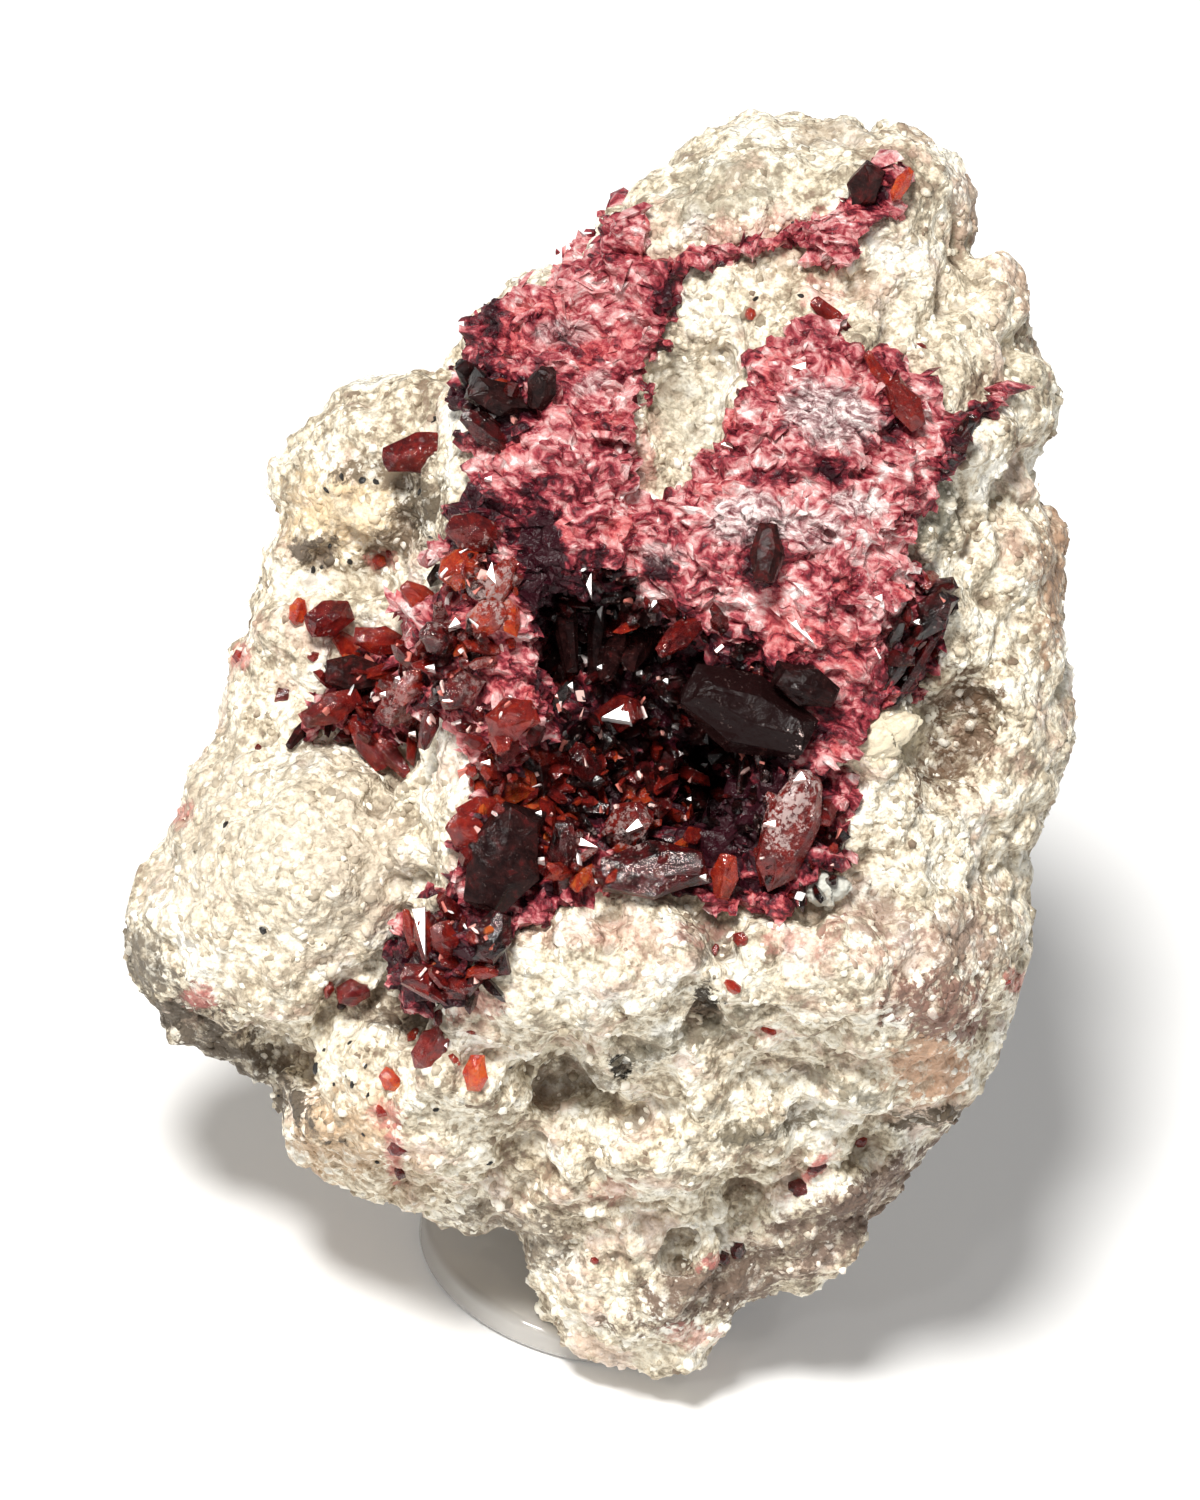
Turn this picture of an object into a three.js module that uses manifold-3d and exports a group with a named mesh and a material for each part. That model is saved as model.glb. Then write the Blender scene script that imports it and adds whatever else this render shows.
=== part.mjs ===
// A roselite specimen: wine-red roselite crystals in and around a pocket in a block of pale,
// granular rock, which stands upright on a clear round base.
// Millimetres, +Z up. The origin is the centre of the base's underside.
import * as THREE from 'three';
import { ConvexGeometry } from 'three/addons/geometries/ConvexGeometry.js';
import { ImprovedNoise } from 'three/addons/math/ImprovedNoise.js';
import { mergeVertices } from 'three/addons/utils/BufferGeometryUtils.js';
import Module from 'manifold-3d';

const wasm = await Module();
wasm.setup();
const { degToRad, lerp, smoothstep } = THREE.MathUtils;

// ---------------------------------------------------------------- driving dimensions

const BASE = { diameter: 12.7, thickness: 1.2, edgeRound: 0.4, sides: 48 };

// The face that carries the crystals looks forward and up. The rock is laid out in that face's
// own frame: u runs across it, v up along it, and w straight out of it.
const FACE_LEAN = 34; // degrees that the face is tipped back from upright
const FACE_ROLL = 16; // degrees that the block is turned in its own face

// The edge of the block as (u, v), clockwise from its top left.
const OUTLINE = [
  [6, 44], [7.3, 44.1], [9, 43.7], [11, 43.5], [13.2, 43.8], [14, 42.6], [15.2, 41.3],
  [15.3, 40], [14.9, 38.9], [15.9, 38.7], [17.1, 37.7], [17.1, 36.2], [17.6, 34.8],
  [18.9, 33.3], [17.7, 31.8], [17.4, 30], [18.5, 28.4], [18.6, 24], [18.9, 20.5], [18, 18],
  [17, 16], [16.8, 14], [17.4, 13], [17, 10.5], [16.2, 9], [15, 6.5], [14.5, 5.2],
  [13.8, 5.2], [12.5, 4], [11, 2.2], [10.2, 0.2], [9, -0.6], [6.4, -1], [6, -1.4],
  [5.3, -2.8], [4.3, -3.8], [3, -4.1], [1, -3.6], [0, -3.3], [-1, -1.6], [-1.7, 0],
  [-3, 1.5], [-4.7, 1.5], [-5.9, 2.2], [-7, 2.9], [-8.8, 3.2], [-10.5, 4.5], [-11.3, 5.6],
  [-11.3, 7], [-13, 7.8], [-15, 9.2], [-16.3, 11], [-17.1, 13], [-16.8, 14.2], [-16, 15],
  [-15.4, 17], [-15, 18.7], [-13.7, 20.3], [-13.2, 22.5], [-12.9, 24.2], [-12, 26],
  [-11.6, 28], [-11.1, 29.3], [-11.5, 30.2], [-10.6, 31.6], [-9.5, 32.8], [-8, 33.8],
  [-6, 34.1], [-4.4, 34.8], [-4, 36], [-3, 37.5], [-1.5, 38], [0.5, 39], [1.6, 40.3],
  [3.5, 41.5], [5, 43.2],
];
const HEART = { u: 1.7, v: 21.2 }; // the point that the edge is measured out from
const BLOCKINESS = 2.8; // 2 makes an oval block, more makes a squarer one
const EDGE_CORNERS = 96; // corners round the edge of the block
const FRONT_RINGS = 15; // rings of corners from the middle of the face to the edge
const BACK_RINGS = 7;

const RIM = { foot: 7.2, middle: 12.5, top: 16.5 }; // depth w of the block's edge
const FACE = { foot: 8.5, full: 23.8 }; // depth of the face at the foot and around the pocket
const TERRACE = { depth: 17.5, wall: [-7, -4] }; // the lower ground left of the crystals

// Lumps and hollows of the face: centre, half-lengths, turn in degrees, rise (a hollow sinks)
// and softness of the edge, from 0 for a cliff to 1 for a gentle dome.
const FACE_FORMS = [
  { name: 'boulder', at: [-10.6, 14.6], half: [5.2, 4], turn: 15, rise: 4.6, soft: 0.7 },
  { name: 'boulder foot', at: [-12.6, 8.6], half: [3.6, 1], turn: -24, rise: -4.5, soft: 0.3 },
  { name: 'knob', at: [-6.8, 6.2], half: [3.9, 2.8], turn: -10, rise: 3.4, soft: 0.4 },
  { name: 'knob gully', at: [-6.8, 9.9], half: [3, 0.6], turn: 5, rise: -1.6, soft: 0.5 },
  { name: 'shelf', at: [-8, 30.5], half: [3, 2.6], turn: 35, rise: 2, soft: 0.5 },
  { name: 'shelf gully', at: [-9.5, 26.6], half: [3, 0.8], turn: 20, rise: -1.2, soft: 0.6 },
  { name: 'left ridge', at: [-1.8, 29.5], half: [2.5, 7.6], turn: 8, rise: 2.2, soft: 0.35 },
  { name: 'right lobe', at: [9.4, 29.3], half: [4.2, 5.6], turn: -8, rise: 2.8, soft: 0.4 },
  { name: 'saddle', at: [4.4, 33.2], half: [1.6, 4.4], turn: 24, rise: -1.6, soft: 0.5 },
  { name: 'summit slab', at: [9, 41.4], half: [4.6, 1.9], turn: 0, rise: 2, soft: 0.35 },
  { name: 'summit cleft', at: [14.6, 38.8], half: [0.7, 2.6], turn: 8, rise: -2.4, soft: 0.4 },
  { name: 'right gully', at: [13, 24], half: [0.9, 4.4], turn: 10, rise: -1.4, soft: 0.5 },
  { name: 'right dent', at: [14.4, 20.2], half: [1.5, 2.4], turn: -25, rise: -2.4, soft: 0.4 },
  { name: 'right bulge', at: [12.8, 10], half: [3.4, 4.4], turn: 10, rise: 2, soft: 0.5 },
  { name: 'lip', at: [0.8, 11.2], half: [5.6, 2.3], turn: 4, rise: 2.8, soft: 0.25 },
  { name: 'lower lump', at: [8.8, 11.4], half: [2.8, 2.4], turn: -20, rise: 2.2, soft: 0.35 },
  { name: 'valley', at: [1.1, 7.5], half: [2.9, 1], turn: -3, rise: -3, soft: 0.3 },
  { name: 'pit', at: [5.2, 10.4], half: [0.7, 1], turn: 0, rise: -2.4, soft: 0.4 },
  { name: 'foot brow', at: [3.6, 4.6], half: [4.8, 1.5], turn: 12, rise: 2.2, soft: 0.3 },
  { name: 'foot groove', at: [6, 2.4], half: [3.8, 0.8], turn: 36, rise: -2.6, soft: 0.3 },
  { name: 'right ledge', at: [12.4, 5], half: [4, 0.9], turn: 6, rise: -3.4, soft: 0.3 },
  { name: 'upper pebble', at: [10.9, 20.4], half: [1.3, 1], turn: 15, rise: 1.6, soft: 0.2 },
  { name: 'lower pebble', at: [9.5, 14.9], half: [1, 0.9], turn: 0, rise: 1.4, soft: 0.2 },
];

// Broken flats of the back, each the plane w = depth + u * across + v * up.
const BACK_FLATS = [
  { depth: -6.8, across: 0.2, up: 0.35 },
  { depth: -5.4, across: -0.28, up: 0.3 },
  { depth: -14, across: -0.08, up: 0.62 },
  { depth: -3, across: -0.66, up: 0.12 },
  { depth: -13, across: 0.86, up: 0.12 },
];

// Scars and bosses of the back, given as the lumps of the face are; a rise stands out of it.
const BACK_FORMS = [
  { name: 'upper scar', at: [6, 33], half: [5, 3.4], turn: 30, rise: -2.4, soft: 0.2 },
  { name: 'side scar', at: [-6, 20], half: [4.4, 3], turn: -40, rise: -2, soft: 0.2 },
  { name: 'middle boss', at: [3, 22], half: [5, 3.6], turn: -20, rise: 1.4, soft: 0.5 },
  { name: 'lower scar', at: [9, 12], half: [4, 4.6], turn: 10, rise: -2, soft: 0.25 },
];

// Knobbly roughness: round lumps with creases between them, one row for each size of lump.
const ROUGHNESS = [
  { wave: 6.5, height: 2.1 },
  { wave: 2.9, height: 1.3 },
];
const EDGE_CALM = 0.35; // share of the roughness that is left at the block's edge
const CREASE_SHARE = 0.22; // how far the creases sink, against the lumps' height

// The pocket: a scoop with a deeper throat and two bays, each a ball squeezed to half-lengths.
const POCKET = [
  { at: [3.4, 20, 25.2], half: [4.8, 5.4, 6], turn: -12 },
  { at: [5, 19, 20.4], half: [3, 2.8, 6], turn: 20 },
  { at: [1.2, 23.6, 25.4], half: [3.4, 3.8, 5.4], turn: 30 },
  { at: [-0.6, 18, 25.6], half: [3.2, 3.4, 4.4], turn: 10 },
];
const POCKET_DETAIL = 2;

const GAP = 0.3; // between the rock and what grows on it
const CRUST_THICKNESS = 0.8;
const CRUST_KNOBS = { wave: 1.9, height: 0.7 };
const LINING_THICKNESS = 1;
const CRUST_FLOOR = 13.5; // the crust stays in front of this depth

// The ground that roselite covers: massive pink roselite above, crystals below and to the left.
const ROSELITE_GROUND = [
  [2.4, 40.7], [3.4, 39], [5.5, 39.4], [8.1, 40.4], [10, 41], [11.2, 42.4], [12.7, 42.3],
  [12.7, 40.6], [11.4, 39.6], [10.8, 37.7], [8.1, 38.6], [4.7, 38], [4.3, 36], [2.9, 34.4],
  [2.2, 31.8], [3, 29.6], [4.5, 30.3], [5.6, 32], [6.6, 34.4], [8.3, 36.9], [10.4, 36],
  [11.8, 34.3], [13.5, 33.6], [14.6, 32.8], [15.7, 33.8], [16.6, 33.3], [15.5, 31.9],
  [13.8, 30.1], [13, 28.8], [12.7, 26.9], [14.2, 25.8], [14.2, 23.4], [12.5, 21.6],
  [10.4, 19.6], [11.3, 18.1], [10.6, 16.2], [8.5, 14.3], [7.8, 13.1], [7, 13.4],
  [5.5, 14], [1.7, 14.2], [-0.6, 13.7], [-2.2, 12.3], [-3.3, 11.6], [-3.8, 10.3],
  [-5.5, 10.3], [-6.7, 11.4], [-6.5, 13.9], [-5.2, 14], [-4.6, 17.4], [-4, 19.3],
  [-5.2, 21], [-6.3, 20.8], [-6.8, 19], [-8.5, 20.4], [-11, 20.2], [-10.2, 21.9],
  [-9.2, 22.9], [-8, 24.6], [-6.4, 24.3], [-6.5, 26.4], [-4.8, 26], [-5.2, 27.4],
  [-4.4, 28.9], [-3.8, 30.4], [-4.7, 32.6], [-4.6, 34], [-3.6, 35.8], [-2.5, 37.1],
  [-0.6, 38.2],
];

// The larger crystals of the crust: centre u, v, length, width, the way that the crystal points
// in the face and how steeply it leans out of it, both in degrees, and how far its middle
// stands above the rock.
const CRUST_CRYSTALS = [
  [6.4, 21.4, 5.4, 3.1, 155, 8, 3.2], [8.6, 22.4, 2.6, 1.8, 160, 20, 1.4],
  [-2.7, 16, 4.6, 3, 68, 12, 1.9], [-0.5, 16, 3.2, 1.3, 88, 28, 2.1],
  [-1.5, 19.2, 3, 1.2, 100, 40, 1.6], [3, 14.9, 4.4, 2.1, 4, -8, 1.2],
  [1.9, 17.2, 2.4, 1.8, 35, 35, 1.8], [-2.7, 18.6, 2.6, 2, 190, 15, 1.4],
  [-4.1, 16.9, 1.8, 1.4, 140, 25, 0.9], [-2.4, 21.2, 2, 1.7, 20, 20, 1.3],
  [0.9, 23.8, 3.6, 1.2, 255, 48, 2.1], [2.6, 24.2, 3.6, 1.2, 235, 45, 2.1],
  [4, 24.4, 3.2, 1.1, 220, 40, 2], [1.6, 21.4, 2.4, 1.5, 15, 50, 1.7],
  [0.4, 19.4, 2.4, 1.3, 120, 48, 1.6], [3.2, 19.4, 2.4, 1.4, 50, 45, 1.6],
  [-4.3, 26.8, 1.9, 1.7, 180, 20, 1.2], [-3.9, 28.2, 2.1, 1.5, 160, 15, 1.1],
  [-3, 26.2, 2.4, 1.2, 60, 20, 1.1], [8, 17, 5, 2.2, 68, 10, 1.5],
  [5.6, 15.3, 1.8, 1.4, 80, 45, 1.1], [-7.5, 24.2, 2, 1.3, 170, 20, 1.3],
  [-8.5, 22.9, 2.3, 1.6, 175, 22, 1.3], [-9.3, 21.6, 2.5, 1.3, 205, 18, 1.2],
  [-7.6, 20.2, 2.8, 1.3, 308, 15, 1.2], [-6.8, 21.7, 1.9, 1.5, 230, 30, 1.3],
  [-5.7, 25.6, 2.1, 1.1, 142, 25, 1.3], [-5.1, 24.2, 1.9, 1.4, 150, 30, 1.3],
  [-3.4, 25, 2, 1.3, 30, 30, 1], [-4.3, 22.3, 2, 1.5, 200, 25, 1.3],
  [-5.8, 13, 2.3, 1, 96, 25, 1.4], [-4.9, 12.8, 1.8, 1.1, 118, 30, 1.4],
  [-5.2, 11.2, 3, 1.5, 165, 12, 1.3], [-3.2, 12.8, 2.1, 1.6, 250, 20, 1.3],
  [10.9, 41.3, 2, 1.4, 60, 30, 1.2], [12.3, 41.4, 1.9, 0.9, 58, 25, 1.2],
  [12.4, 23.3, 3.9, 1, 57, 8, 1.2], [13.4, 25, 2.2, 1.4, 50, 20, 1.2],
  [12.4, 33.1, 2.4, 1.4, 120, 20, 1.2], [9.6, 36.4, 2.7, 1, 135, 10, 1.1],
  [14.4, 31.6, 2.5, 1.1, 60, 15, 1.2], [-2.9, 33.3, 2.6, 1.5, 158, 18, 1.4],
  [-1.3, 33.7, 1.7, 1.2, 70, 35, 1.3], [-3.4, 32, 2.4, 1.1, 140, 20, 1.3],
  [7.2, 27.4, 2.4, 1.4, 265, 30, 1.3],
];

// Crystals that grow by themselves on bare rock: name, then as the crust's crystals.
const LONE_CRYSTALS = [
  ['crystal_upper_left', -5.9, 31.3, 3, 1.6, 192, 12, 0.6],
  ['crystal_left', -9.4, 25, 1.9, 1.5, 200, 15, 0.5],
  ['crystal_left_edge', -10.6, 25.3, 1.1, 0.8, 75, 20, 0.3],
  ['crystal_lower_left', -8.5, 10.8, 1.3, 1.1, 190, 20, 0.4],
  ['crystal_lower_middle', -5.5, 8.8, 2.1, 1.3, 50, 25, 0.6],
  ['crystal_lower_right', -3.8, 7.8, 1.5, 1, 85, 30, 0.5],
  ['crystal_lowest', -7, 7.5, 1.1, 0.9, 140, 35, 0.4],
];
const CRYSTAL_PLUMPNESS = 0.8; // thickness against width

// ---------------------------------------------------------------- the face's own frame

const faceFrame = new THREE.Matrix4()
  .makeRotationX(degToRad(90 - FACE_LEAN))
  .multiply(new THREE.Matrix4().makeRotationZ(degToRad(FACE_ROLL)));

// ---------------------------------------------------------------- solids

// A closed geometry, moved into the part's frame, as a solid that can be joined and cut.
function solidOf(geometry, frame = new THREE.Matrix4()) {
  const bare = new THREE.BufferGeometry();
  bare.setAttribute('position', geometry.getAttribute('position').clone());
  if (geometry.index) bare.setIndex(geometry.index.clone());
  const merged = mergeVertices(bare.applyMatrix4(frame));
  const mesh = new wasm.Mesh({
    numProp: 3,
    vertProperties: merged.getAttribute('position').array,
    triVerts: new Uint32Array(merged.index.array),
  });
  return new wasm.Manifold(mesh);
}

function geometryOf(solid) {
  const mesh = solid.getMesh();
  const geometry = new THREE.BufferGeometry();
  geometry.setAttribute('position', new THREE.BufferAttribute(mesh.vertProperties, 3));
  geometry.setIndex(new THREE.BufferAttribute(mesh.triVerts, 1));
  return geometry;
}

// The one body that is left when the chips of a cut are dropped.
function largestBody(solid) {
  const bodies = solid.decompose();
  return bodies.reduce((best, body) => (body.volume() > best.volume() ? body : best));
}

const unite = (solids) => solids.reduce((sum, solid) => sum.add(solid));

// ---------------------------------------------------------------- the block of rock

// Distance from the heart to the block's edge, along one direction in the face.
function edgeDistance(angle) {
  const ray = new THREE.Vector2(Math.cos(angle), Math.sin(angle));
  let distance = 0;
  OUTLINE.forEach(([u, v], i) => {
    const [nextU, nextV] = OUTLINE[(i + 1) % OUTLINE.length];
    const start = new THREE.Vector2(u - HEART.u, v - HEART.v);
    const side = new THREE.Vector2(nextU - u, nextV - v);
    const slant = ray.cross(side);
    const along = start.cross(side) / slant;
    const share = start.cross(ray) / slant;
    if (along > distance && share >= 0 && share <= 1) distance = along;
  });
  return distance;
}

function rimDepth(v) {
  const lower = lerp(RIM.foot, RIM.middle, smoothstep(v, -3, 12));
  return lerp(lower, RIM.top, smoothstep(v, 26, 42));
}

// How strongly a lump or hollow acts at a point: 1 at its middle, 0 outside its edge.
function formWeight(form, u, v) {
  const turn = degToRad(form.turn);
  const du = u - form.at[0];
  const dv = v - form.at[1];
  const along = (du * Math.cos(turn) + dv * Math.sin(turn)) / form.half[0];
  const across = (dv * Math.cos(turn) - du * Math.sin(turn)) / form.half[1];
  return 1 - smoothstep(Math.hypot(along, across), 1 - form.soft, 1 + form.soft);
}

function totalRise(forms, u, v) {
  return forms.reduce((sum, form) => sum + form.rise * formWeight(form, u, v), 0);
}

function faceDepth(u, v) {
  const slope = lerp(FACE.foot, FACE.full, smoothstep(v, -8, 14));
  const ground = lerp(TERRACE.depth, FACE.full, smoothstep(u, ...TERRACE.wall));
  return Math.min(slope, ground) + totalRise(FACE_FORMS, u, v);
}

function backDepth(u, v) {
  const flats = BACK_FLATS.map((flat) => flat.depth + flat.across * u + flat.up * v);
  return Math.max(...flats) - totalRise(BACK_FORMS, u, v);
}

// The front (or back) surface's depth at a point of the face.
function surfaceDepth(u, v, front = true) {
  const angle = Math.atan2(v - HEART.v, u - HEART.u);
  const edge = edgeDistance(angle);
  const share = Math.min(1, Math.hypot(u - HEART.u, v - HEART.v) / edge);
  const swell = (1 - share ** BLOCKINESS) ** (1 / BLOCKINESS);
  const rim = rimDepth(HEART.v + edge * Math.sin(angle));
  return lerp(rim, front ? faceDepth(u, v) : backDepth(u, v), swell);
}

// Moves each corner of a merged geometry along its own normal.
function swellBy(geometry, distanceAt) {
  geometry.computeVertexNormals();
  const position = geometry.getAttribute('position');
  const normals = geometry.getAttribute('normal').clone();
  const point = new THREE.Vector3();
  const normal = new THREE.Vector3();
  for (let i = 0; i < position.count; i++) {
    point.fromBufferAttribute(position, i);
    normal.fromBufferAttribute(normals, i);
    point.addScaledVector(normal, distanceAt(point, normal));
    position.setXYZ(i, point.x, point.y, point.z);
  }
  return geometry;
}

const noise = new ImprovedNoise();

function knobs(point, { wave, height }) {
  const at = point.clone().divideScalar(wave);
  return height * (Math.abs(noise.noise(at.x, at.y, at.z)) - CREASE_SHARE);
}

function roughnessAt(point, normal) {
  const share = lerp(EDGE_CALM, 1, Math.abs(normal.z));
  return share * ROUGHNESS.reduce((sum, row) => sum + knobs(point, row), 0);
}

// The corners of one ring at a share of the way from the heart to the edge.
function ringCorners(share, count, front) {
  return Array.from({ length: count }, (_, i) => {
    const angle = (2 * Math.PI * i) / count;
    const reach = share * edgeDistance(angle);
    const u = HEART.u + reach * Math.cos(angle);
    const v = HEART.v + reach * Math.sin(angle);
    return new THREE.Vector3(u, v, surfaceDepth(u, v, front));
  });
}

// Rings of one side of the block from its middle towards the edge, which is left out.
function sideRings(ringCount, front) {
  return Array.from({ length: ringCount }, (_, ring) => {
    const share = Math.sin((Math.PI / 2) * (ring / ringCount));
    return ringCorners(share, Math.max(1, Math.round(share * EDGE_CORNERS)), front);
  });
}

// Triangles between two rings, each given by its first corner's number and its length.
function stitch(inner, outer) {
  const triangles = [];
  const innerSteps = inner.count > 1 ? inner.count : 0;
  let i = 0;
  let j = 0;
  while (i < innerSteps || j < outer.count) {
    const near = inner.first + (i % inner.count);
    const far = outer.first + (j % outer.count);
    if ((j + 1) / outer.count <= (i + 1) / inner.count) {
      j += 1;
      triangles.push([near, far, outer.first + (j % outer.count)]);
    } else {
      i += 1;
      triangles.push([near, far, inner.first + (i % inner.count)]);
    }
  }
  return triangles;
}

// The whole block before its pocket is cut, in the face frame.
function blockGeometry() {
  const edge = ringCorners(1, EDGE_CORNERS, true);
  const front = sideRings(FRONT_RINGS, true);
  const back = sideRings(BACK_RINGS, false);
  const rings = [...front, edge, ...back.reverse()];
  let first = 0;
  const spans = rings.map((ring) => {
    const span = { first, count: ring.length };
    first += ring.length;
    return span;
  });
  const triangles = spans.slice(1).flatMap((outer, i) => {
    const inner = spans[i];
    if (i < FRONT_RINGS) return stitch(inner, outer);
    return stitch(outer, inner).map(([a, b, c]) => [a, c, b]);
  });
  const geometry = new THREE.BufferGeometry().setFromPoints(rings.flat());
  geometry.setIndex(triangles.flat());
  return swellBy(geometry, roughnessAt);
}

// The block grown by a distance that may differ from place to place.
function block(growthAt = () => 0) {
  return solidOf(swellBy(blockGeometry(), growthAt), faceFrame);
}

function ball(detail) {
  const geometry = new THREE.IcosahedronGeometry(1, detail);
  geometry.deleteAttribute('normal');
  geometry.deleteAttribute('uv');
  return mergeVertices(geometry);
}

// The pocket's space, drawn in from its walls by a distance.
function pocket(inset = 0) {
  const hollows = POCKET.map(({ at, half, turn }) => {
    const shape = ball(POCKET_DETAIL)
      .scale(...half.map((length) => length - inset))
      .rotateZ(degToRad(turn))
      .translate(...at);
    return solidOf(swellBy(shape, roughnessAt), faceFrame);
  });
  return unite(hollows);
}

// Everything below the base's top, which the foot of the rock is cut flat by.
function belowBase() {
  const room = 100;
  const slab = new THREE.BoxGeometry(room, room, room);
  return solidOf(slab.translate(0, 0, BASE.thickness - room / 2));
}

// The rock grown by the gap, which nothing that stands on it enters.
const keepClear = block(() => GAP).subtract(pocket(GAP));
const grownRock = new THREE.Mesh(geometryOf(keepClear));

// ---------------------------------------------------------------- crystals

// A lens-shaped crystal, long in x: a six-sided girdle with a chisel edge above and below it.
function crystalGeometry(long, wide, thick) {
  const corners = [
    [1, 0.1, 0], [0.3, 1, 0.1], [-0.45, 0.95, 0], [-1, -0.1, 0], [-0.3, -1, -0.1],
    [0.45, -0.95, 0], [0.4, 0.15, 1], [-0.5, 0.1, 0.9], [0.5, -0.1, -0.9], [-0.4, -0.15, -1],
  ];
  const half = new THREE.Vector3(long / 2, wide / 2, thick / 2);
  return new ConvexGeometry(corners.map((at) => new THREE.Vector3(...at).multiply(half)));
}

// Where a line straight down onto the face meets the rock that crystals stand on.
function landingDepth(u, v) {
  const start = new THREE.Vector3(u, v, 2 * FACE.full).applyMatrix4(faceFrame);
  const down = new THREE.Vector3(0, 0, -1).transformDirection(faceFrame);
  const [landing] = new THREE.Raycaster(start, down).intersectObject(grownRock);
  return 2 * FACE.full - landing.distance;
}

// A crystal in the face at (u, v), its middle standing above the rock.
function crystal(u, v, long, wide, turn, lean, stand) {
  const shape = crystalGeometry(long, wide, wide * CRYSTAL_PLUMPNESS)
    .rotateY(degToRad(-lean))
    .rotateZ(degToRad(turn))
    .translate(u, v, landingDepth(u, v) + stand);
  return solidOf(shape, faceFrame);
}

// A straight prism over the roselite's ground.
function roseliteGround() {
  const outline = new THREE.Shape(ROSELITE_GROUND.map(([u, v]) => new THREE.Vector2(u, v)));
  const depth = 2 * FACE.full;
  const prism = new THREE.ExtrudeGeometry(outline, { depth, bevelEnabled: false });
  return solidOf(prism.translate(0, 0, CRUST_FLOOR), faceFrame);
}

// ---------------------------------------------------------------- the pieces

function rock() {
  return largestBody(block().subtract(pocket()).subtract(belowBase()));
}

// One crust: the pink ground over the rock, the pocket's lining, and their larger crystals.
function roseliteCrust() {
  const skinAt = (point) => GAP + CRUST_THICKNESS + knobs(point, CRUST_KNOBS);
  const skin = block(skinAt);
  const lining = pocket(GAP).intersect(skin);
  const ground = skin.intersect(roseliteGround()).add(lining);
  const hollowed = ground.subtract(pocket(GAP + LINING_THICKNESS));
  const crystals = CRUST_CRYSTALS.map((row) => crystal(...row));
  return largestBody(hollowed.add(unite(crystals)).subtract(keepClear));
}

function loneCrystal([, ...placing]) {
  return largestBody(crystal(...placing).subtract(keepClear));
}

// The base: a disc with rounded edges.
function baseGeometry() {
  const { diameter, thickness, edgeRound, sides } = BASE;
  const radius = diameter / 2;
  const profile = new THREE.Path();
  profile.moveTo(0, 0);
  profile.lineTo(radius - edgeRound, 0);
  profile.absarc(radius - edgeRound, edgeRound, edgeRound, -Math.PI / 2, 0);
  profile.absarc(radius - edgeRound, thickness - edgeRound, edgeRound, 0, Math.PI / 2);
  profile.lineTo(0, thickness);
  return new THREE.LatheGeometry(profile.getPoints(1), sides).rotateX(Math.PI / 2);
}

const rockFinish = new THREE.MeshStandardMaterial({ color: 0xd9cfbd, roughness: 0.92 });
const roseliteFinish = new THREE.MeshStandardMaterial({ color: 0x7a1726, roughness: 0.22 });
const clearFinish = new THREE.MeshStandardMaterial({
  color: 0xe4e0de, roughness: 0.08, transparent: true, opacity: 0.45,
});

function piece(name, geometry, material) {
  const mesh = new THREE.Mesh(geometry, material);
  mesh.name = name;
  return mesh;
}

const specimen = new THREE.Group();
specimen.add(
  piece('base_disc', baseGeometry(), clearFinish),
  piece('matrix', geometryOf(rock()), rockFinish),
  piece('roselite_crust', geometryOf(roseliteCrust()), roseliteFinish),
  ...LONE_CRYSTALS.map((row) => piece(row[0], geometryOf(loneCrystal(row)), roseliteFinish)),
);

export default specimen;
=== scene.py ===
"""A roselite specimen on a clear round base: its finished surfaces, crystals and grains."""

import math

import bmesh
import bpy
import numpy as np
from mathutils import Matrix, Vector
from mathutils.bvhtree import BVHTree


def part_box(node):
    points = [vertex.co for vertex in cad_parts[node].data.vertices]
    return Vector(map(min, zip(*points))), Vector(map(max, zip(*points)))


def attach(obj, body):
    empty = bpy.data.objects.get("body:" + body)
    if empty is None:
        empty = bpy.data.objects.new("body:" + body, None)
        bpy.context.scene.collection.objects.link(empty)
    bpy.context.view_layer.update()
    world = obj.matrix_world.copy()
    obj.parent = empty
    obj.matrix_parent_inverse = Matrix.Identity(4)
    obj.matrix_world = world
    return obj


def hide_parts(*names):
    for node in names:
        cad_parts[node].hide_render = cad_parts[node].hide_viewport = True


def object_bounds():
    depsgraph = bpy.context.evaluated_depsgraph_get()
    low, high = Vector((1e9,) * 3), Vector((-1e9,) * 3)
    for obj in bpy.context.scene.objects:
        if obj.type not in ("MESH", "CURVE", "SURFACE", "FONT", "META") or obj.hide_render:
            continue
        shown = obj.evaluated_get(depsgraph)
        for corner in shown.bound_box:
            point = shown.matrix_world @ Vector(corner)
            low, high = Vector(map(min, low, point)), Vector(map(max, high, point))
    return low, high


bl_info = {
    "name": "Roselite specimen",
    "version": (1, 0, 0),
    "blender": (4, 5, 0),
    "location": "3D View > Sidebar > Specimen",
    "description": "Builds a roselite specimen around its packed solids",
    "category": "Add Mesh",
}

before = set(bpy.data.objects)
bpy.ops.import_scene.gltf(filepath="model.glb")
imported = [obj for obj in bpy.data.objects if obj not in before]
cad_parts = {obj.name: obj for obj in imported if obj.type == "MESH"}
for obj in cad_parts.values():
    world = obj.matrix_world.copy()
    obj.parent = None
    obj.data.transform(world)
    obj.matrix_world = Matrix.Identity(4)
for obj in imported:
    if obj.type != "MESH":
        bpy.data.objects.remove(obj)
CAD_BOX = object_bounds()
MM = 0.001
SEED = 11

# ------------------------------------------------------------ the crystal face's own frame
# u runs across the face, v up along it and w out of it, all in millimetres.

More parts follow.
